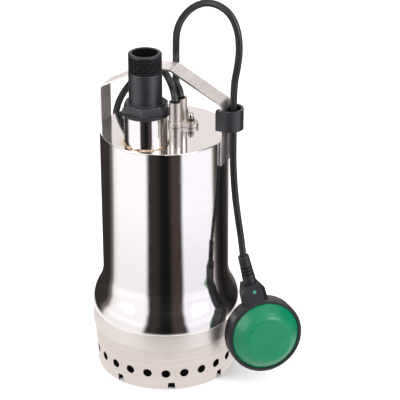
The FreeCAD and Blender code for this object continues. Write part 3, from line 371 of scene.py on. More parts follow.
def satin_skirt(tree, place, tone, rough, settings):
    """The casing's skirt, below its crease, is left satin from the lathe."""
    height = add(tree, "ShaderNodeSeparateXYZ", {0: place}).outputs["Z"]
    skirt = add(tree, "ShaderNodeMath", {0: height, 1: CREASE}, operation="LESS_THAN").outputs[0]
    lines = grain(tree, place, (0.3, 0.3, 0.0009), detail=3.0)
    satin = blended(tree, spread(tree, lines, 0.0, 0.5), settings.satin, linear("#D6CFCC"))
    mixed = add(tree, "ShaderNodeMix", {"Factor": skirt, "A": rough, "B": 0.36})
    return blended(tree, skirt, tone, satin), mixed.outputs[0]


def near_weld(tree, place, tone, rough, settings):
    """Straw and brown heat tint on the cover, in the few millimetres round the welded socket."""
    flat = add(tree, "ShaderNodeVectorMath", {0: place, 1: (1.0, 1.0, 0.0)}, operation="MULTIPLY")
    reach = add(tree, "ShaderNodeVectorMath", {0: flat.outputs[0], 1: (*SOCKET_AXIS, 0.0)},
                operation="DISTANCE")
    uneven = grain(tree, place, (0.006, 0.006, 0.006))
    edge = add(tree, "ShaderNodeMath", {0: reach.outputs["Value"], 1: spread(tree, uneven, 0.0, 0.004)},
               operation="SUBTRACT")
    straw = spread(tree, edge.outputs[0], 0.75, 0.0, WELD_RADIUS + 0.0009, WELD_RADIUS + 0.0059)
    calm = blended(tree, 0.6, tone, linear("#DEDCDB"))
    return blended(tree, straw, calm, linear("#DCCDB6")), rough


def satin_steel(name, base, depth=0.00002, across=(0.02, 0.02, 0.0005), rough=(0.26, 0.40)):
    """304 stainless, brushed with a fine belt: soft reflections drawn out across the brush lines.

    A 180 grit belt leaves lines 0.1 mm apart, drawn here 0.5 to 0.9 mm apart so that they show.
    """
    made, tree, shader, place = new_material(name, base, 0.32, 1.0)
    lines = grain(tree, place, across, detail=3.0)
    patches = grain(tree, place, (0.025, 0.025, 0.018), detail=3.0)
    tree.links.new(spread(tree, patches, *rough), shader.inputs["Roughness"])
    tree.links.new(blended(tree, spread(tree, lines, 0.0, 0.5), base, linear("#D2CAC6")),
                   shader.inputs["Base Color"])
    bumped(tree, shader, [(lines, depth)])
    return made


def foot_steel(settings):
    """304 stainless, spun and pickled: satin outside, with painted shade inside, where the wall is coloured
    near black.

    The spinning lines of 0.2 mm are drawn 1.1 mm apart so that they show.
    """
    made, tree, shader, place = new_material("Spun Pickled Stainless", settings.satin, 0.36, 1.0)
    lines = grain(tree, place, (0.3, 0.3, 0.0011), detail=3.0)
    patches = grain(tree, place, (0.018, 0.018, 0.018), detail=4.0)
    tone = blended(tree, spread(tree, lines, 0.35, 1.0), settings.satin, linear("#D3CAC6"))
    flat = add(tree, "ShaderNodeVectorMath", {0: place, 1: (1.0, 1.0, 0.0)}, operation="MULTIPLY")
    radius = add(tree, "ShaderNodeVectorMath", {0: flat.outputs[0]}, operation="LENGTH").outputs["Value"]
    height = add(tree, "ShaderNodeSeparateXYZ", {0: place}).outputs["Z"]
    slope, foot = STRAINER_SKIN
    skin = add(tree, "ShaderNodeMath", {0: height, 1: slope, 2: foot}, operation="MULTIPLY_ADD").outputs[0]
    # painted shade: the inner side of the strainer's wall is coloured near black
    inside = add(tree, "ShaderNodeMath", {0: radius, 1: skin}, operation="LESS_THAN").outputs[0]
    tree.links.new(blended(tree, inside, tone, linear("#0E0D0C")), shader.inputs["Base Color"])
    tree.links.new(spread(tree, patches, 0.30, 0.46), shader.inputs["Roughness"])
    bumped(tree, shader, [(patches, 0.00012), (lines, 0.00001)])
    return made


def weld_metal():
    """TIG weld bead in stainless: frozen ripples with straw and brown oxide."""
    made, tree, shader, place = new_material("TIG Weld Bead", linear("#BCA48C"), 0.3, 1.0)
    tint = grain(tree, place, (0.005, 0.005, 0.003), detail=3.0)
    ramp = add(tree, "ShaderNodeValToRGB", {0: tint})
    stops = ramp.color_ramp.elements
    stops[0].position, stops[0].color = 0.34, linear("#8E7866")
    stops[1].position, stops[1].color = 0.66, linear("#DCCDBA")
    straw = stops.new(0.5)
    straw.color = linear("#BCA48C")
    tree.links.new(ramp.outputs[0], shader.inputs["Base Color"])
    tree.links.new(spread(tree, tint, 0.22, 0.4), shader.inputs["Roughness"])
    bumped(tree, shader, [(tint, 0.0002)])
    return made


def turned_steel(name, code, rough=0.22, spacing=(0.1, 0.1, 0.0004)):
    """Bar steel, turned or ground: bright, with its tool lines drawn 0.4 mm apart so that they show."""
    made, tree, shader, place = new_material(name, linear(code), rough, 1.0)
    lines = grain(tree, place, spacing)
    tree.links.new(spread(tree, lines, rough * 0.8, rough * 1.3), shader.inputs["Roughness"])
    tree.links.new(blended(tree, lines, linear(code), linear("#8F8D8C")), shader.inputs["Base Color"])
    bumped(tree, shader, [(lines, 0.00001)])
    return made


# ---- finishes: rubber and plastic
def rubber(name, base, rough=0.5, pore=0.0006, dust="#55575C"):
    """Extruded or moulded rubber: near black, with a thin grey bloom, and its pores drawn 0.6 mm wide."""
    made, tree, shader, place = new_material(name, base, rough, 0.0, IOR=1.52)
    pores = grain(tree, place, (pore, pore, pore), detail=3.0)
    bloom = grain(tree, place, (0.02, 0.02, 0.03), detail=4.0)
    tree.links.new(blended(tree, spread(tree, bloom, 0.0, 0.07, 0.45, 0.8), base, linear(dust)),
                   shader.inputs["Base Color"])
    tree.links.new(spread(tree, bloom, rough - 0.07, rough + 0.1), shader.inputs["Roughness"])
    bumped(tree, shader, [(pores, 0.00004)])
    return made


def moulded(name, base, rough=0.42, texture=0.0009, depth=0.00005, second=None, **sockets):
    """Injection-moulded plastic: a spark-eroded texture, drawn 0.9 mm wide, and slow changes of gloss."""
    made, tree, shader, place = new_material(name, base, rough, 0.0, **{"IOR": 1.49, **sockets})
    spark = grain(tree, place, (texture, texture, texture), detail=2.0)
    flow = grain(tree, place, (0.03, 0.03, 0.02), detail=2.0)
    tree.links.new(spread(tree, flow, rough - 0.05, rough + 0.08), shader.inputs["Roughness"])
    if second is not None:
        tree.links.new(blended(tree, spread(tree, flow, 0.0, 0.5), base, second), shader.inputs["Base Color"])
    bumped(tree, shader, [(spark, depth)])
    return made


def speckled(name, base, second, rough, metallic, size, depth):
    """Cast, fired or potted stock inside the pump: a mottled colour and a grainy skin."""
    made, tree, shader, place = new_material(name, base, rough, metallic)
    mottle = grain(tree, place, (size * 6.0, size * 6.0, size * 6.0), detail=4.0)
    skin = grain(tree, place, (size, size, size), detail=3.0)
    tree.links.new(blended(tree, spread(tree, mottle, 0.0, 1.0), base, second), shader.inputs["Base Color"])
    tree.links.new(spread(tree, skin, rough - 0.06, rough + 0.08), shader.inputs["Roughness"])
    bumped(tree, shader, [(skin, depth)])
    return made


def layered(name, base, second, rough, metallic, spacing):
    """Stacked sheets or wound wire: one line to each sheet or wire."""
    made, tree, shader, place = new_material(name, base, rough, metallic)
    lines = add(tree, "ShaderNodeTexWave", {"Vector": place, "Scale": 0.314 / spacing, "Distortion": 0.6,
                                            "Detail": 1.0}, wave_type="BANDS", bands_direction="Z")
    tree.links.new(blended(tree, lines.outputs["Fac"], base, second), shader.inputs["Base Color"])
    bumped(tree, shader, [(lines.outputs["Fac"], spacing * 0.2)])
    return made


# ---- what a user may change
class SteelSettings(PropertyGroup):
    polished: colour_property("Polished steel", "Colour of the buffed casing, cover and socket", "#F2F0EF")
    handle: colour_property("Handle", "Colour of the belt-brushed strap handle", "#FFFAF8")
    satin: colour_property("Satin steel", "Colour of the brushed gland and foot", "#E7E1DF")


class CableSettings(PropertyGroup):
    diameter: FloatProperty(name="Cable diameter", description="Outside diameter of both rubber cables",
                            default=0.009, min=0.006, max=0.010, unit="LENGTH")
    sheath: colour_property("Cable sheath", "Colour of the rubber sheath", "#0B0B0E")
    plug: colour_property("Plug body", "Colour of the moulded plug", "#101114")


class OutletSettings(PropertyGroup):
    pitch: FloatProperty(name="Thread pitch", description="Distance from crest to crest of the pipe thread",
                         default=0.002309, min=0.0018, max=0.003, unit="LENGTH")
    depth: FloatProperty(name="Thread depth", description="Depth of the thread from crest to root",
                         default=0.00148, min=0.0005, max=0.002, unit="LENGTH")
    bead: FloatProperty(name="Weld bead", description="Width of the weld round the socket's base",
                        default=0.0015, min=0.001, max=0.004, unit="LENGTH")
    ripples: IntProperty(name="Weld ripples", description="Ripples in the weld, all the way round",
                         default=170, min=40, max=240)
    nylon: colour_property("Adaptor", "Colour of the glass-filled hose adaptor", "#0D0C12")


class FloatSettings(PropertyGroup):
    cover: colour_property("Float cover", "Colour of the float's domed cover", "#006946")
    housing: colour_property("Float housing", "Colour of the float's body", "#0D0C12")


class StudioSettings(PropertyGroup):
    lens: FloatProperty(name="Lens", description="Focal length of the camera", default=144.16,
                        min=50.0, max=300.0, unit="CAMERA")
    floor: FloatProperty(name="Floor", description="Width of the pale floor", default=14.0,
                         min=4.0, max=30.0, unit="LENGTH")
    fill: FloatProperty(name="Fill", description="Strength of the even light from all round", default=1.0,
                        min=0.0, max=3.0)
    boards: FloatProperty(name="Boards", description="Brightness of the boards that the steel mirrors",
                          default=1.17, min=0.0, max=3.0)
    key: FloatProperty(name="Key", description="Power of the softbox on the right", default=22.0,
                       min=0.0, max=200.0, unit="POWER")


# ---- stage
def card_ramp(tree, direction):
    """Brightness round the pump: white boards to its left and right, dark flags before and beside it."""
    angle = add(tree, "ShaderNodeTexGradient", {"Vector": direction}, gradient_type="RADIAL").outputs["Fac"]
    ramp = add(tree, "ShaderNodeValToRGB", {0: angle})
    white, pearl, black, soot = linear("#F6F4F6"), linear("#EEE8E6"), linear("#151517"), linear("#332E2D")
    umber, back, grey, cool = linear("#413836"), linear("#ECE6E4"), linear("#77706E"), linear("#F2F0F7")
    stops = [
        (0.000, white), (0.158, white), (0.174, soot), (0.205, soot), (0.235, black), (0.262, black),
        (0.285, umber), (0.320, umber), (0.335, cool), (0.474, cool), (0.490, pearl), (0.504, grey),
        (0.522, soot), (0.560, black), (0.625, soot), (0.665, grey), (0.695, back), (0.785, back),
        (0.805, umber), (0.835, soot), (0.940, soot), (0.965, grey), (0.985, pearl),
    ]
    elements = ramp.color_ramp.elements
    elements[0].position, elements[0].color = stops[0]
    elements[1].position, elements[1].color = stops[-1]
    for position, colour in stops[1:-1]:
        elements.new(position).color = colour
    return ramp.outputs[0]


def studio_world(settings):
    """Even white light, and for reflections the boards and flags that stand round the set."""
    world = bpy.data.worlds.new("Studio")
    bpy.context.scene.world = world
    world.use_nodes = True
    tree = world.node_tree
    tree.nodes.clear()
    way = add(tree, "ShaderNodeTexCoord").outputs["Generated"]
    height = add(tree, "ShaderNodeSeparateXYZ", {0: way}).outputs["Z"]
    upper = spread(tree, height, 0.0, 1.0, *CARD_TOPS)
    cards = blended(tree, upper, card_ramp(tree, way), linear("#F3EFED"))
    even = add(tree, "ShaderNodeBackground", {"Color": (1.0, 1.0, 1.0, 1.0), "Strength": settings.fill})
    seen = add(tree, "ShaderNodeBackground", {"Color": cards, "Strength": settings.boards})
    glossy = add(tree, "ShaderNodeLightPath").outputs["Is Glossy Ray"]
    both = add(tree, "ShaderNodeMixShader", {0: glossy, 1: even.outputs[0], 2: seen.outputs[0]})
    add(tree, "ShaderNodeOutputWorld", {"Surface": both.outputs[0]})


def reflection_board(settings):
    """What polished steel sees of the floor: pale paper round the foot, boards and flags further out."""
    board = flat_square("reflection_board", settings.floor, -BOARD_DEPTH)
    boards = bpy.data.materials.new("Boards and Flags")
    boards.use_nodes = True
    tree = boards.node_tree
    tree.nodes.clear()
    place = add(tree, "ShaderNodeTexCoord").outputs["Object"]
    radius = add(tree, "ShaderNodeVectorMath", {0: place}, operation="LENGTH").outputs["Value"]
    far = spread(tree, radius, 0.0, 1.0, *NEAR_PAPER)
    seen = blended(tree, far, linear("#FDF8F5"), card_ramp(tree, place))
    shade = spread(tree, radius, 0.93 * settings.boards, 1.06 * settings.boards, *FAR_SHADE)
    glow = add(tree, "ShaderNodeEmission", {"Color": seen, "Strength": shade})
    add(tree, "ShaderNodeOutputMaterial", {"Surface": glow.outputs[0]})
    board.data.materials.append(boards)
    board.visible_camera = board.visible_diffuse = board.visible_shadow = False
    board.visible_transmission = board.visible_volume_scatter = False
    return board


def flat_square(name, size, z):
    half = size / 2.0
    mesh = bpy.data.meshes.new(name)
    corners = [(-half, -half, z), (half, -half, z), (half, half, z), (-half, half, z)]
    mesh.from_pydata(corners, [], [(0, 1, 2, 3)])
    return linked(name, mesh)


def disc_mesh(name, radius, z, segments=96):
    mesh = bpy.data.meshes.new(name)
    turn = 2.0 * math.pi / segments
    rim = [(radius * math.cos(turn * i), radius * math.sin(turn * i), z) for i in range(segments)]
    mesh.from_pydata(rim, [], [list(range(segments))])
    return mesh


def softbox(name, place, size, power, mirrored=True):
    light = bpy.data.lights.new(name, "AREA")
    light.shape = "RECTANGLE"
    light.size, light.size_y = size
    light.energy = power
    lamp = linked(name, light)
    lamp.visible_glossy = mirrored
    lamp.location = place
    lamp.rotation_euler = (Vector(LAMP_AIM) - Vector(place)).to_track_quat("-Z", "Y").to_euler()
    return lamp


class PUMP_OT_stage(Operator):
    """Camera, pale floor, reflection boards and softboxes"""
    bl_idname = "pump.stage"
    bl_label = "Studio"

    def execute(self, context):
        settings = context.scene.pump_studio
        context.scene.view_settings.view_transform = "Standard"
        camera = bpy.data.cameras.new("Camera")
        camera.lens = settings.lens
        camera.sensor_width = SENSOR_WIDTH
        camera.clip_end = 50.0
        viewer = linked("Camera", camera)
        viewer.location = CAMERA_PLACE
        viewer.rotation_euler = Euler([math.radians(turn) for turn in CAMERA_TURN])
        context.scene.camera = viewer
        studio_world(settings)
        paper, tree, shader, place = new_material("Seamless Paper", linear("#FFFFFF"), 0.9)
        fibres = grain(tree, place, (0.02, 0.02, 0.02), detail=3.0)
        tree.links.new(blended(tree, fibres, linear("#FFFFFF"), linear("#FAFAFA")),
                       shader.inputs["Base Color"])
        floor = flat_square("studio_floor", settings.floor, 0.0)
        floor.data.materials.append(paper)
        floor.visible_glossy = False
        # painted shade: a matt black disc, hidden from reflections, darkens the floor inside the strainer
        # where shade falls
        mat = linked("foot_mat", disc_mesh("foot_mat", *FOOT_MAT))
        mat.data.materials.append(rubber("Studio Foot Mat", linear("#050505"), 0.9))
        mat.visible_glossy = False
        reflection_board(settings)
        softbox("Softbox Right", (1.3, -0.9, 1.1), (0.8, 1.4), settings.key)
        softbox("Softbox Left", (-1.5, -0.7, 1.2), (0.8, 1.4), settings.key * 0.6)
        softbox("Softbox Top", (0.1, 0.4, 2.0), (1.4, 1.0), settings.key * 0.8, mirrored=False)
        return {"FINISHED"}


# ---- cables
class PUMP_OT_float_cable(Operator):
    """The float switch's cable, from the gland over the handle, through its clip and down to the float"""
    bl_idname = "pump.float_cable"
    bl_label = "Float Cable"

    def execute(self, context):
        settings = context.scene.pump_cables
        steps = 24
        line = evaluated_mesh(route_curve("float_line", FLOAT_CABLE_ROUTE, 0.0, steps), "float_line")
        bpy.data.meshes.remove(line)
        tube = evaluated_mesh(route_curve("float_cable", FLOAT_CABLE_ROUTE, settings.diameter, steps),
                              "float_cable")
        smooth(tube, math.radians(60.0))
        piece = linked("float_cable", tube)
        tube.materials.clear()
        tube.materials.append(rubber("Extruded Rubber Sheath, float", settings.sheath, 0.42))
        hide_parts("float_cable_loop", "float_cable_bend", "float_cable_drop")
        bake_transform(piece)
        return {"FINISHED"}


class PUMP_OT_mains_lead(Operator):
    """The mains lead, from the gland over the cover, down behind the pump and into its tied coil"""
    bl_idname = "pump.mains_lead"
    bl_label = "Mains Lead"

    def execute(self, context):
        settings = context.scene.pump_cables
        route = MAINS_ROUTE + coil_points() + TAIL_ROUTE
        curve = route_curve("mains_lead", route, settings.diameter, 12)
        curve.materials.append(rubber("Extruded Rubber Sheath, mains", settings.sheath, 0.42))
        piece = linked("mains_lead", curve)
        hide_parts("mains_cable", "mains_coil", "mains_tail")
        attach(piece, "pump")
        # PVC comes smooth from its mould, with soft highlights; nickel is bright, and woven tape is matt.
        paint(["mains_plug"], moulded("Moulded PVC Plug", settings.plug, 0.45))
        paint(["plug_pins"], turned_steel("Nickel Plated Brass", "#D2C7A6", 0.2))
        paint(["coil_tie"], rubber("Woven Hook and Loop", linear("#1F2024"), 0.8, 0.0012))
        return {"FINISHED"}


# ---- steelwork
class PUMP_OT_steelwork(Operator):
    """Polished casing and cover, satin handle, gland and strainer foot"""
    bl_idname = "pump.steelwork"
    bl_label = "Steelwork"

    def execute(self, context):
        settings = context.scene.pump_steel
        # Buffed steel mirrors the boards sharply; belt-brushed and blasted steel only glows with them.
        paint(["outer_casing"], polished_steel("Buffed Stainless Casing", settings, satin_skirt))
        paint(["top_cover"], polished_steel("Buffed Stainless Cover", settings, near_weld))
        paint(["discharge_socket"], polished_steel("Buffed Stainless Socket", settings))
        paint(["strainer"], foot_steel(settings))
        paint(["suction_plate"], satin_steel("Pickled Stainless Plate", settings.satin))
        paint(["handle"], satin_steel("Belt Brushed Stainless", settings.handle,
                                      0.000012, (0.02, 0.02, 0.0008), (0.36, 0.46)))
        paint(["gland_stub", "gland_cap"],
              satin_steel("Cast Stainless, Bead Blasted", linear("#D3CAC2"),
                          0.00003, (0.004, 0.004, 0.0009), (0.36, 0.50)))
        paint(["gland_bolts", "gland_nuts"], turned_steel("Stainless Acorn Nuts", "#D6CCC2", 0.18))
        return {"FINISHED"}


# ---- outlet
def adaptor_rows(settings, segments=144):
    """The hose adaptor as rings of points: stem, flange, hexagon, neck with turned lines, thread and bore."""
    stem, flange, hexagon, neck, thread = 0.3549, 0.3769, 0.3782, 0.3899, THREAD_START
    top = thread + THREAD_TURNS * settings.pitch
    tip = top + 0.0025
    bore, stem_r, flange_r, neck_r, corner = BORE_RADIUS, 0.0239, 0.0298, NECK_RADIUS, 0.0297
    turn = math.radians(-98.9)

    def round_row(radius, z):
        return [radius] * segments, z

    def hex_row(limit, z):
        radii = []
        for j in range(segments):
            angle = (360.0 * j / segments) % 60.0 - 30.0
            radii.append(min(corner * math.cos(math.radians(30.0)) / math.cos(math.radians(angle)), limit))
        return radii, z

    def thread_row(z):
        radii = []
        for j in range(segments):
            phase = ((z - thread) / settings.pitch - j / segments) % 1.0
            tooth = max(0.0, min(1.0, 1.35 - 2.7 * abs(phase - 0.5)))
            starting = max(0.0, (z - thread) / settings.pitch)
            ending = max(0.0, (top + 0.0004 - z) / (0.6 * settings.pitch))
            fade = min(1.0, starting, ending)
            radii.append(neck_r - settings.depth * tooth * fade)
        return radii, z

    rows = [round_row(bore, stem), round_row(stem_r - 0.001, stem), round_row(stem_r, stem + 0.001)]
    rows += [round_row(stem_r, flange), round_row(flange_r - 0.0002, flange)]
    rows += [round_row(flange_r, flange + 0.0002), round_row(flange_r, hexagon - 0.0003)]
    rows += [round_row(flange_r - 0.0003, hexagon)]
    rows += [hex_row(corner - 0.0006, hexagon), hex_row(corner, hexagon + 0.0008)]
    rows += [hex_row(corner, neck - 0.0032), hex_row(corner - 0.0016, neck - 0.0019)]
    rows += [hex_row(corner - 0.0032, neck - 0.0007), hex_row(corner - 0.0045, neck)]
    rows += [round_row(neck_r + 0.0006, neck), round_row(neck_r + 0.0001, neck + 0.0005)]
    z = neck + 0.0012
    while z < thread - 0.0008:
        rows += [round_row(neck_r, z), round_row(neck_r, z + 0.0007), round_row(neck_r - 0.00007, z + 0.0009)]
        z += 0.00115
    steps = int((THREAD_TURNS + 0.2) * 12)
    rows += [thread_row(thread - 0.0004 + (top + 0.0008 - thread) * i / steps) for i in range(steps + 1)]
    rows += [round_row(neck_r - 0.0002, tip - 0.0010), round_row(neck_r - 0.0012, tip - 0.0002)]
    rows += [round_row(neck_r - 0.0016, tip), round_row(bore + 0.0012, tip)]
    rows += [round_row(bore + 0.0003, tip - 0.0004), round_row(bore, tip - 0.0012)]
    across, back = SOCKET_AXIS
    placed = []
    for radii, z in rows:
        ring = []
        for j, radius in enumerate(radii):
            angle = turn + 2.0 * math.pi * j / segments
            ring.append((across + radius * math.cos(angle), back + radius * math.sin(angle), z))
        placed.append(ring)
    return placed


def nylon(settings):
    """Glass-filled nylon, turned after moulding: satin black, with tool lines 0.5 mm apart round it."""
    made, tree, shader, place = new_material("Glass Filled Nylon", settings.nylon, 0.4, 0.0, IOR=1.6)
    lines = grain(tree, place, (0.2, 0.2, 0.0005), detail=3.0)
    fibres = grain(tree, place, (0.0015, 0.0015, 0.0015), detail=2.0)
    tree.links.new(blended(tree, spread(tree, lines, 0.0, 0.6), settings.nylon, linear("#2B2A34")),
                   shader.inputs["Base Color"])
    tree.links.new(spread(tree, lines, 0.36, 0.46), shader.inputs["Roughness"])
    bumped(tree, shader, [(lines, 0.00006), (fibres, 0.00003)])
    return made


def jointing_paste():
    """Painted shade: dull near black in the thread's roots and down the bore, where the adaptor's hollows are
    shaded.
    """
    made, tree, shader, place = new_material("Black Jointing Paste", linear("#050505"), 0.85)
    shader.inputs["Specular IOR Level"].default_value = 0.12
    smears = grain(tree, place, (0.002, 0.002, 0.001), detail=3.0)
    tree.links.new(blended(tree, smears, linear("#030303"), linear("#0C0B0C")), shader.inputs["Base Color"])
    bumped(tree, shader, [(smears, 0.00005)])
    return made


def paste_faces(mesh):
    """Give the thread's roots and the bore the mesh's second material, their painted shade."""
    bore, thread, root = BORE_RADIUS + 0.00045, THREAD_START + 0.0002, NECK_RADIUS - 0.00075
    for face in mesh.polygons:
        x, y, z = face.center
        reach = math.hypot(x - SOCKET_AXIS[0], y - SOCKET_AXIS[1])
        if reach < bore or (z > thread and bore + 0.002 < reach < root):
            face.material_index = 1


def bead_tree(material):
    """Geometry Nodes: a round weld, made of one overlapping ripple after another."""
    tree = bpy.data.node_groups.new("Weld Ripples", "GeometryNodeTree")
    face = tree.interface
    face.new_socket("Geometry", in_out="OUTPUT", socket_type="NodeSocketGeometry")
    for name, kind, value in (("Radius", "NodeSocketFloat", 0.028), ("Width", "NodeSocketFloat", 0.003),
                              ("Height", "NodeSocketFloat", 0.0), ("Ripples", "NodeSocketInt", 100)):
        face.new_socket(name, in_out="INPUT", socket_type=kind).default_value = value
    given = add(tree, "NodeGroupInput").outputs
    circle = add(tree, "GeometryNodeCurvePrimitiveCircle",
                 {"Resolution": given["Ripples"], "Radius": given["Radius"]})
    ripple = add(tree, "GeometryNodeMeshUVSphere", {"Segments": 12, "Rings": 8, "Radius": 1.0})
    along = add(tree, "GeometryNodeInputTangent")
    face_way = add(tree, "FunctionNodeAlignRotationToVector", {"Vector": along.outputs[0]}, axis="Y")
    uneven = add(tree, "FunctionNodeRandomValue", {2: 0.88, 3: 1.12, "Seed": 7}, data_type="FLOAT")
    width = add(tree, "ShaderNodeMath", {0: given["Width"], 1: uneven.outputs[1]}, operation="MULTIPLY")
    length = add(tree, "ShaderNodeMath", {0: given["Width"], 1: 0.62}, operation="MULTIPLY")
    size = add(tree, "ShaderNodeCombineXYZ", {0: width.outputs[0], 1: length.outputs[0], 2: width.outputs[0]})
    beads = add(tree, "GeometryNodeInstanceOnPoints",
                {"Points": circle.outputs[0], "Instance": ripple.outputs["Mesh"],
                 "Rotation": face_way.outputs[0], "Scale": size.outputs[0]})
    whole = add(tree, "GeometryNodeRealizeInstances", {0: beads.outputs[0]})
    lift = add(tree, "ShaderNodeCombineXYZ", {0: SOCKET_AXIS[0], 1: SOCKET_AXIS[1], 2: given["Height"]})
    placed = add(tree, "GeometryNodeTransform",
                 {"Geometry": whole.outputs[0], "Translation": lift.outputs[0]})
    soft = add(tree, "GeometryNodeSetShadeSmooth", {0: placed.outputs[0]})
    done = add(tree, "GeometryNodeSetMaterial", {"Geometry": soft.outputs[0], "Material": material})
    add(tree, "NodeGroupOutput", {0: done.outputs[0]})
    return tree


def from_tree(name, tree, values):
    """The plain mesh that a Geometry Nodes tree makes from the given inputs, by their names."""
    holder = linked(name + "_source", bpy.data.meshes.new(name + "_source"))
    maker = holder.modifiers.new("Maker", "NODES")
    maker.node_group = tree
    for item in tree.interface.items_tree:
        if item.in_out == "INPUT" and item.name in values:
            maker[item.identifier] = values[item.name]
    return evaluated_mesh(holder, name)


class PUMP_OT_outlet(Operator):
    """The weld round the socket and the threaded hose adaptor"""
    bl_idname = "pump.outlet"
    bl_label = "Outlet"

    def execute(self, context):
        settings = context.scene.pump_outlet
        mesh = grid_mesh("hose_connector", adaptor_rows(settings), closed_rows=True)
        smooth(mesh, math.radians(28.0))
        mesh.materials.append(nylon(settings))
        # painted shade: the thread's roots and the bore get a dull black second material
        mesh.materials.append(jointing_paste())
        paste_faces(mesh)
        adaptor = linked("hose_connector", mesh)
        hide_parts("hose_adaptor")
        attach(adaptor, "pump")
        values = {"Radius": WELD_RADIUS, "Width": settings.bead, "Height": COVER_TOP,
                  "Ripples": settings.ripples}
        weld = linked("socket_weld_bead", from_tree("socket_weld_bead", bead_tree(weld_metal()), values))
        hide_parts("socket_weld")
        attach(weld, "pump")
        return {"FINISHED"}


# ---- float switch
class PUMP_OT_float_switch(Operator):
    """The float's black housing, green cover, bend protector and the switch inside"""
    bl_idname = "pump.float_switch"
    bl_label = "Float Switch"

    def execute(self, context):
        settings = context.scene.pump_float
        # Polypropylene is waxy: a broad highlight runs round the green dome, and the black body is duller.
        paint(["float_housing"], moulded("Moulded Polypropylene, Black", settings.housing, 0.46,
                                         second=linear("#15141C")))
        green = moulded("Moulded Polypropylene, Green", settings.cover, 0.27, 0.0011, 0.00003,
                        second=linear("#03754D"), IOR=1.40)
        paint(["float_cover"], green)
        paint(["float_pin"], moulded("Moulded Polypropylene, Teal", linear("#2F7E6E"), 0.4))
        paint(["float_bend_protector"], rubber("Moulded Thermoplastic Rubber", linear("#0D0D11"), 0.46))
        paint(["float_seal"], rubber("Nitrile Cord Ring", linear("#131316"), 0.55))
        paint(["switch_carrier"], moulded("Natural Acetal", linear("#DAD8CF"), 0.4))
        paint(["microswitch"], moulded("Phenolic Switch Body", linear("#24211F"), 0.5))
        paint(["switch_lever", "switch_ball"], turned_steel("Spring Steel", "#C6C6C8", 0.15))
        return {"FINISHED"}


# ---- small parts and the works
class PUMP_OT_fittings(Operator):
    """Clip, grommet and gaskets"""
    bl_idname = "pump.fittings"
    bl_label = "Clip and Gaskets"

    def execute(self, context):
        # EPDM has a soft sheen where the mould was smooth; cut nitrile sheet has matt edges.
        paint(["cable_clip"], rubber("Moulded EPDM Clip", linear("#1D1B21"), 0.36))
        paint(["gland_grommet"], rubber("Moulded EPDM Grommet", linear("#0E0E11"), 0.5))
        paint(["gland_gasket", "casing_gasket", "discharge_gasket"],
              rubber("Nitrile Sheet", linear("#1B1B1C"), 0.6))
        return {"FINISHED"}


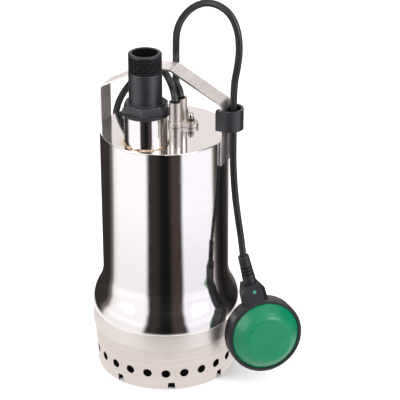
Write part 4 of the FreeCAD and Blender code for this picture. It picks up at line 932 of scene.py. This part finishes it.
class PUMP_OT_works(Operator):
    """The wet end and the motor inside the casing"""
    bl_idname = "pump.works"
    bl_label = "Works"

    def execute(self, context):
        # Inside the casing: matt, grainy castings, bright ground bar steel, and dark lines on stacked sheets.
        iron = speckled("Grey Cast Iron", linear("#6B6B6D"), linear("#565557"), 0.55, 1.0, 0.0007, 0.0001)
        paint(["oil_chamber", "lower_bearing_bracket", "upper_bearing_bracket"], iron)
        paint(["impeller", "diffuser"], moulded("Glass Filled Polyphenylene", linear("#1C1C1E"), 0.5))
        bright = turned_steel("Ground Bar Steel", "#C2C2C4", 0.2)
        paint(["oil_plug", "tie_studs", "stud_nuts", "motor_spacers", "shaft", "impeller_nut",
               "bearing_outer_rings", "bearing_inner_rings", "bearing_balls", "motor_shell", "motor_lid",
               "cable_duct"], bright)
        ceramic = speckled("Alumina Seal Ring", linear("#DCD6C8"), linear("#D2CBBB"), 0.2, 0.0, 0.0004,
                           0.00001)
        paint(["seal_seat", "seal_rotating_ring"], ceramic)
        paint(["lip_seal"], rubber("Nitrile Lip Seal", linear("#1A1A1C"), 0.5))
        stack = layered("Lamination Stack", linear("#7C7C80"), linear("#3F3F42"), 0.4, 1.0, 0.001)
        paint(["stator_core", "rotor_core"], stack)
        copper = layered("Enamelled Copper", linear("#B4673A"), linear("#7A3A1E"), 0.3, 1.0, 0.0012)
        paint(["stator_windings"], copper)
        aluminium = speckled("Cast Aluminium", linear("#C9CACD"), linear("#B0B1B5"), 0.35, 1.0, 0.0008,
                             0.00005)
        paint(["rotor_end_rings"], aluminium)
        paint(["capacitor"], moulded("Moulded Capacitor Can", linear("#DEDDD8"), 0.4))
        return {"FINISHED"}


class PUMP_PT_panel(Panel):
    bl_label = "Sump Pump"
    bl_idname = "PUMP_PT_panel"
    bl_space_type = "VIEW_3D"
    bl_region_type = "UI"
    bl_category = "Sump Pump"

    def draw(self, context):
        scene = context.scene
        for operator, group, fields in PANEL_ROWS:
            box = self.layout.box()
            for field in fields:
                box.prop(getattr(scene, group), field)
            box.operator(operator)


PANEL_ROWS = [
    ("pump.stage", "pump_studio", ("lens", "floor", "fill", "boards", "key")),
    ("pump.float_cable", "pump_cables", ("diameter", "sheath")),
    ("pump.mains_lead", "pump_cables", ("plug",)),
    ("pump.steelwork", "pump_steel", ("polished", "satin", "handle")),
    ("pump.outlet", "pump_outlet", ("pitch", "depth", "bead", "ripples", "nylon")),
    ("pump.float_switch", "pump_float", ("cover", "housing")),
    ("pump.fittings", "pump_steel", ()),
    ("pump.works", "pump_steel", ()),
]

GROUPS = {
    "pump_steel": SteelSettings,
    "pump_cables": CableSettings,
    "pump_outlet": OutletSettings,
    "pump_float": FloatSettings,
    "pump_studio": StudioSettings,
}

CLASSES = [
    *GROUPS.values(), PUMP_OT_stage, PUMP_OT_float_cable, PUMP_OT_mains_lead, PUMP_OT_steelwork,
    PUMP_OT_outlet, PUMP_OT_float_switch, PUMP_OT_fittings, PUMP_OT_works, PUMP_PT_panel,
]


def register():
    for each in CLASSES:
        bpy.utils.register_class(each)
    for name, group in GROUPS.items():
        setattr(bpy.types.Scene, name, PointerProperty(type=group))


def unregister():
    for name in GROUPS:
        delattr(bpy.types.Scene, name)
    for each in reversed(CLASSES):
        bpy.utils.unregister_class(each)


def main():
    register()
    bpy.ops.pump.stage()
    bpy.ops.pump.float_cable()
    bpy.ops.pump.mains_lead()
    bpy.ops.pump.steelwork()
    bpy.ops.pump.outlet()
    bpy.ops.pump.float_switch()
    bpy.ops.pump.fittings()
    bpy.ops.pump.works()


if __name__ == "__main__":
    main()
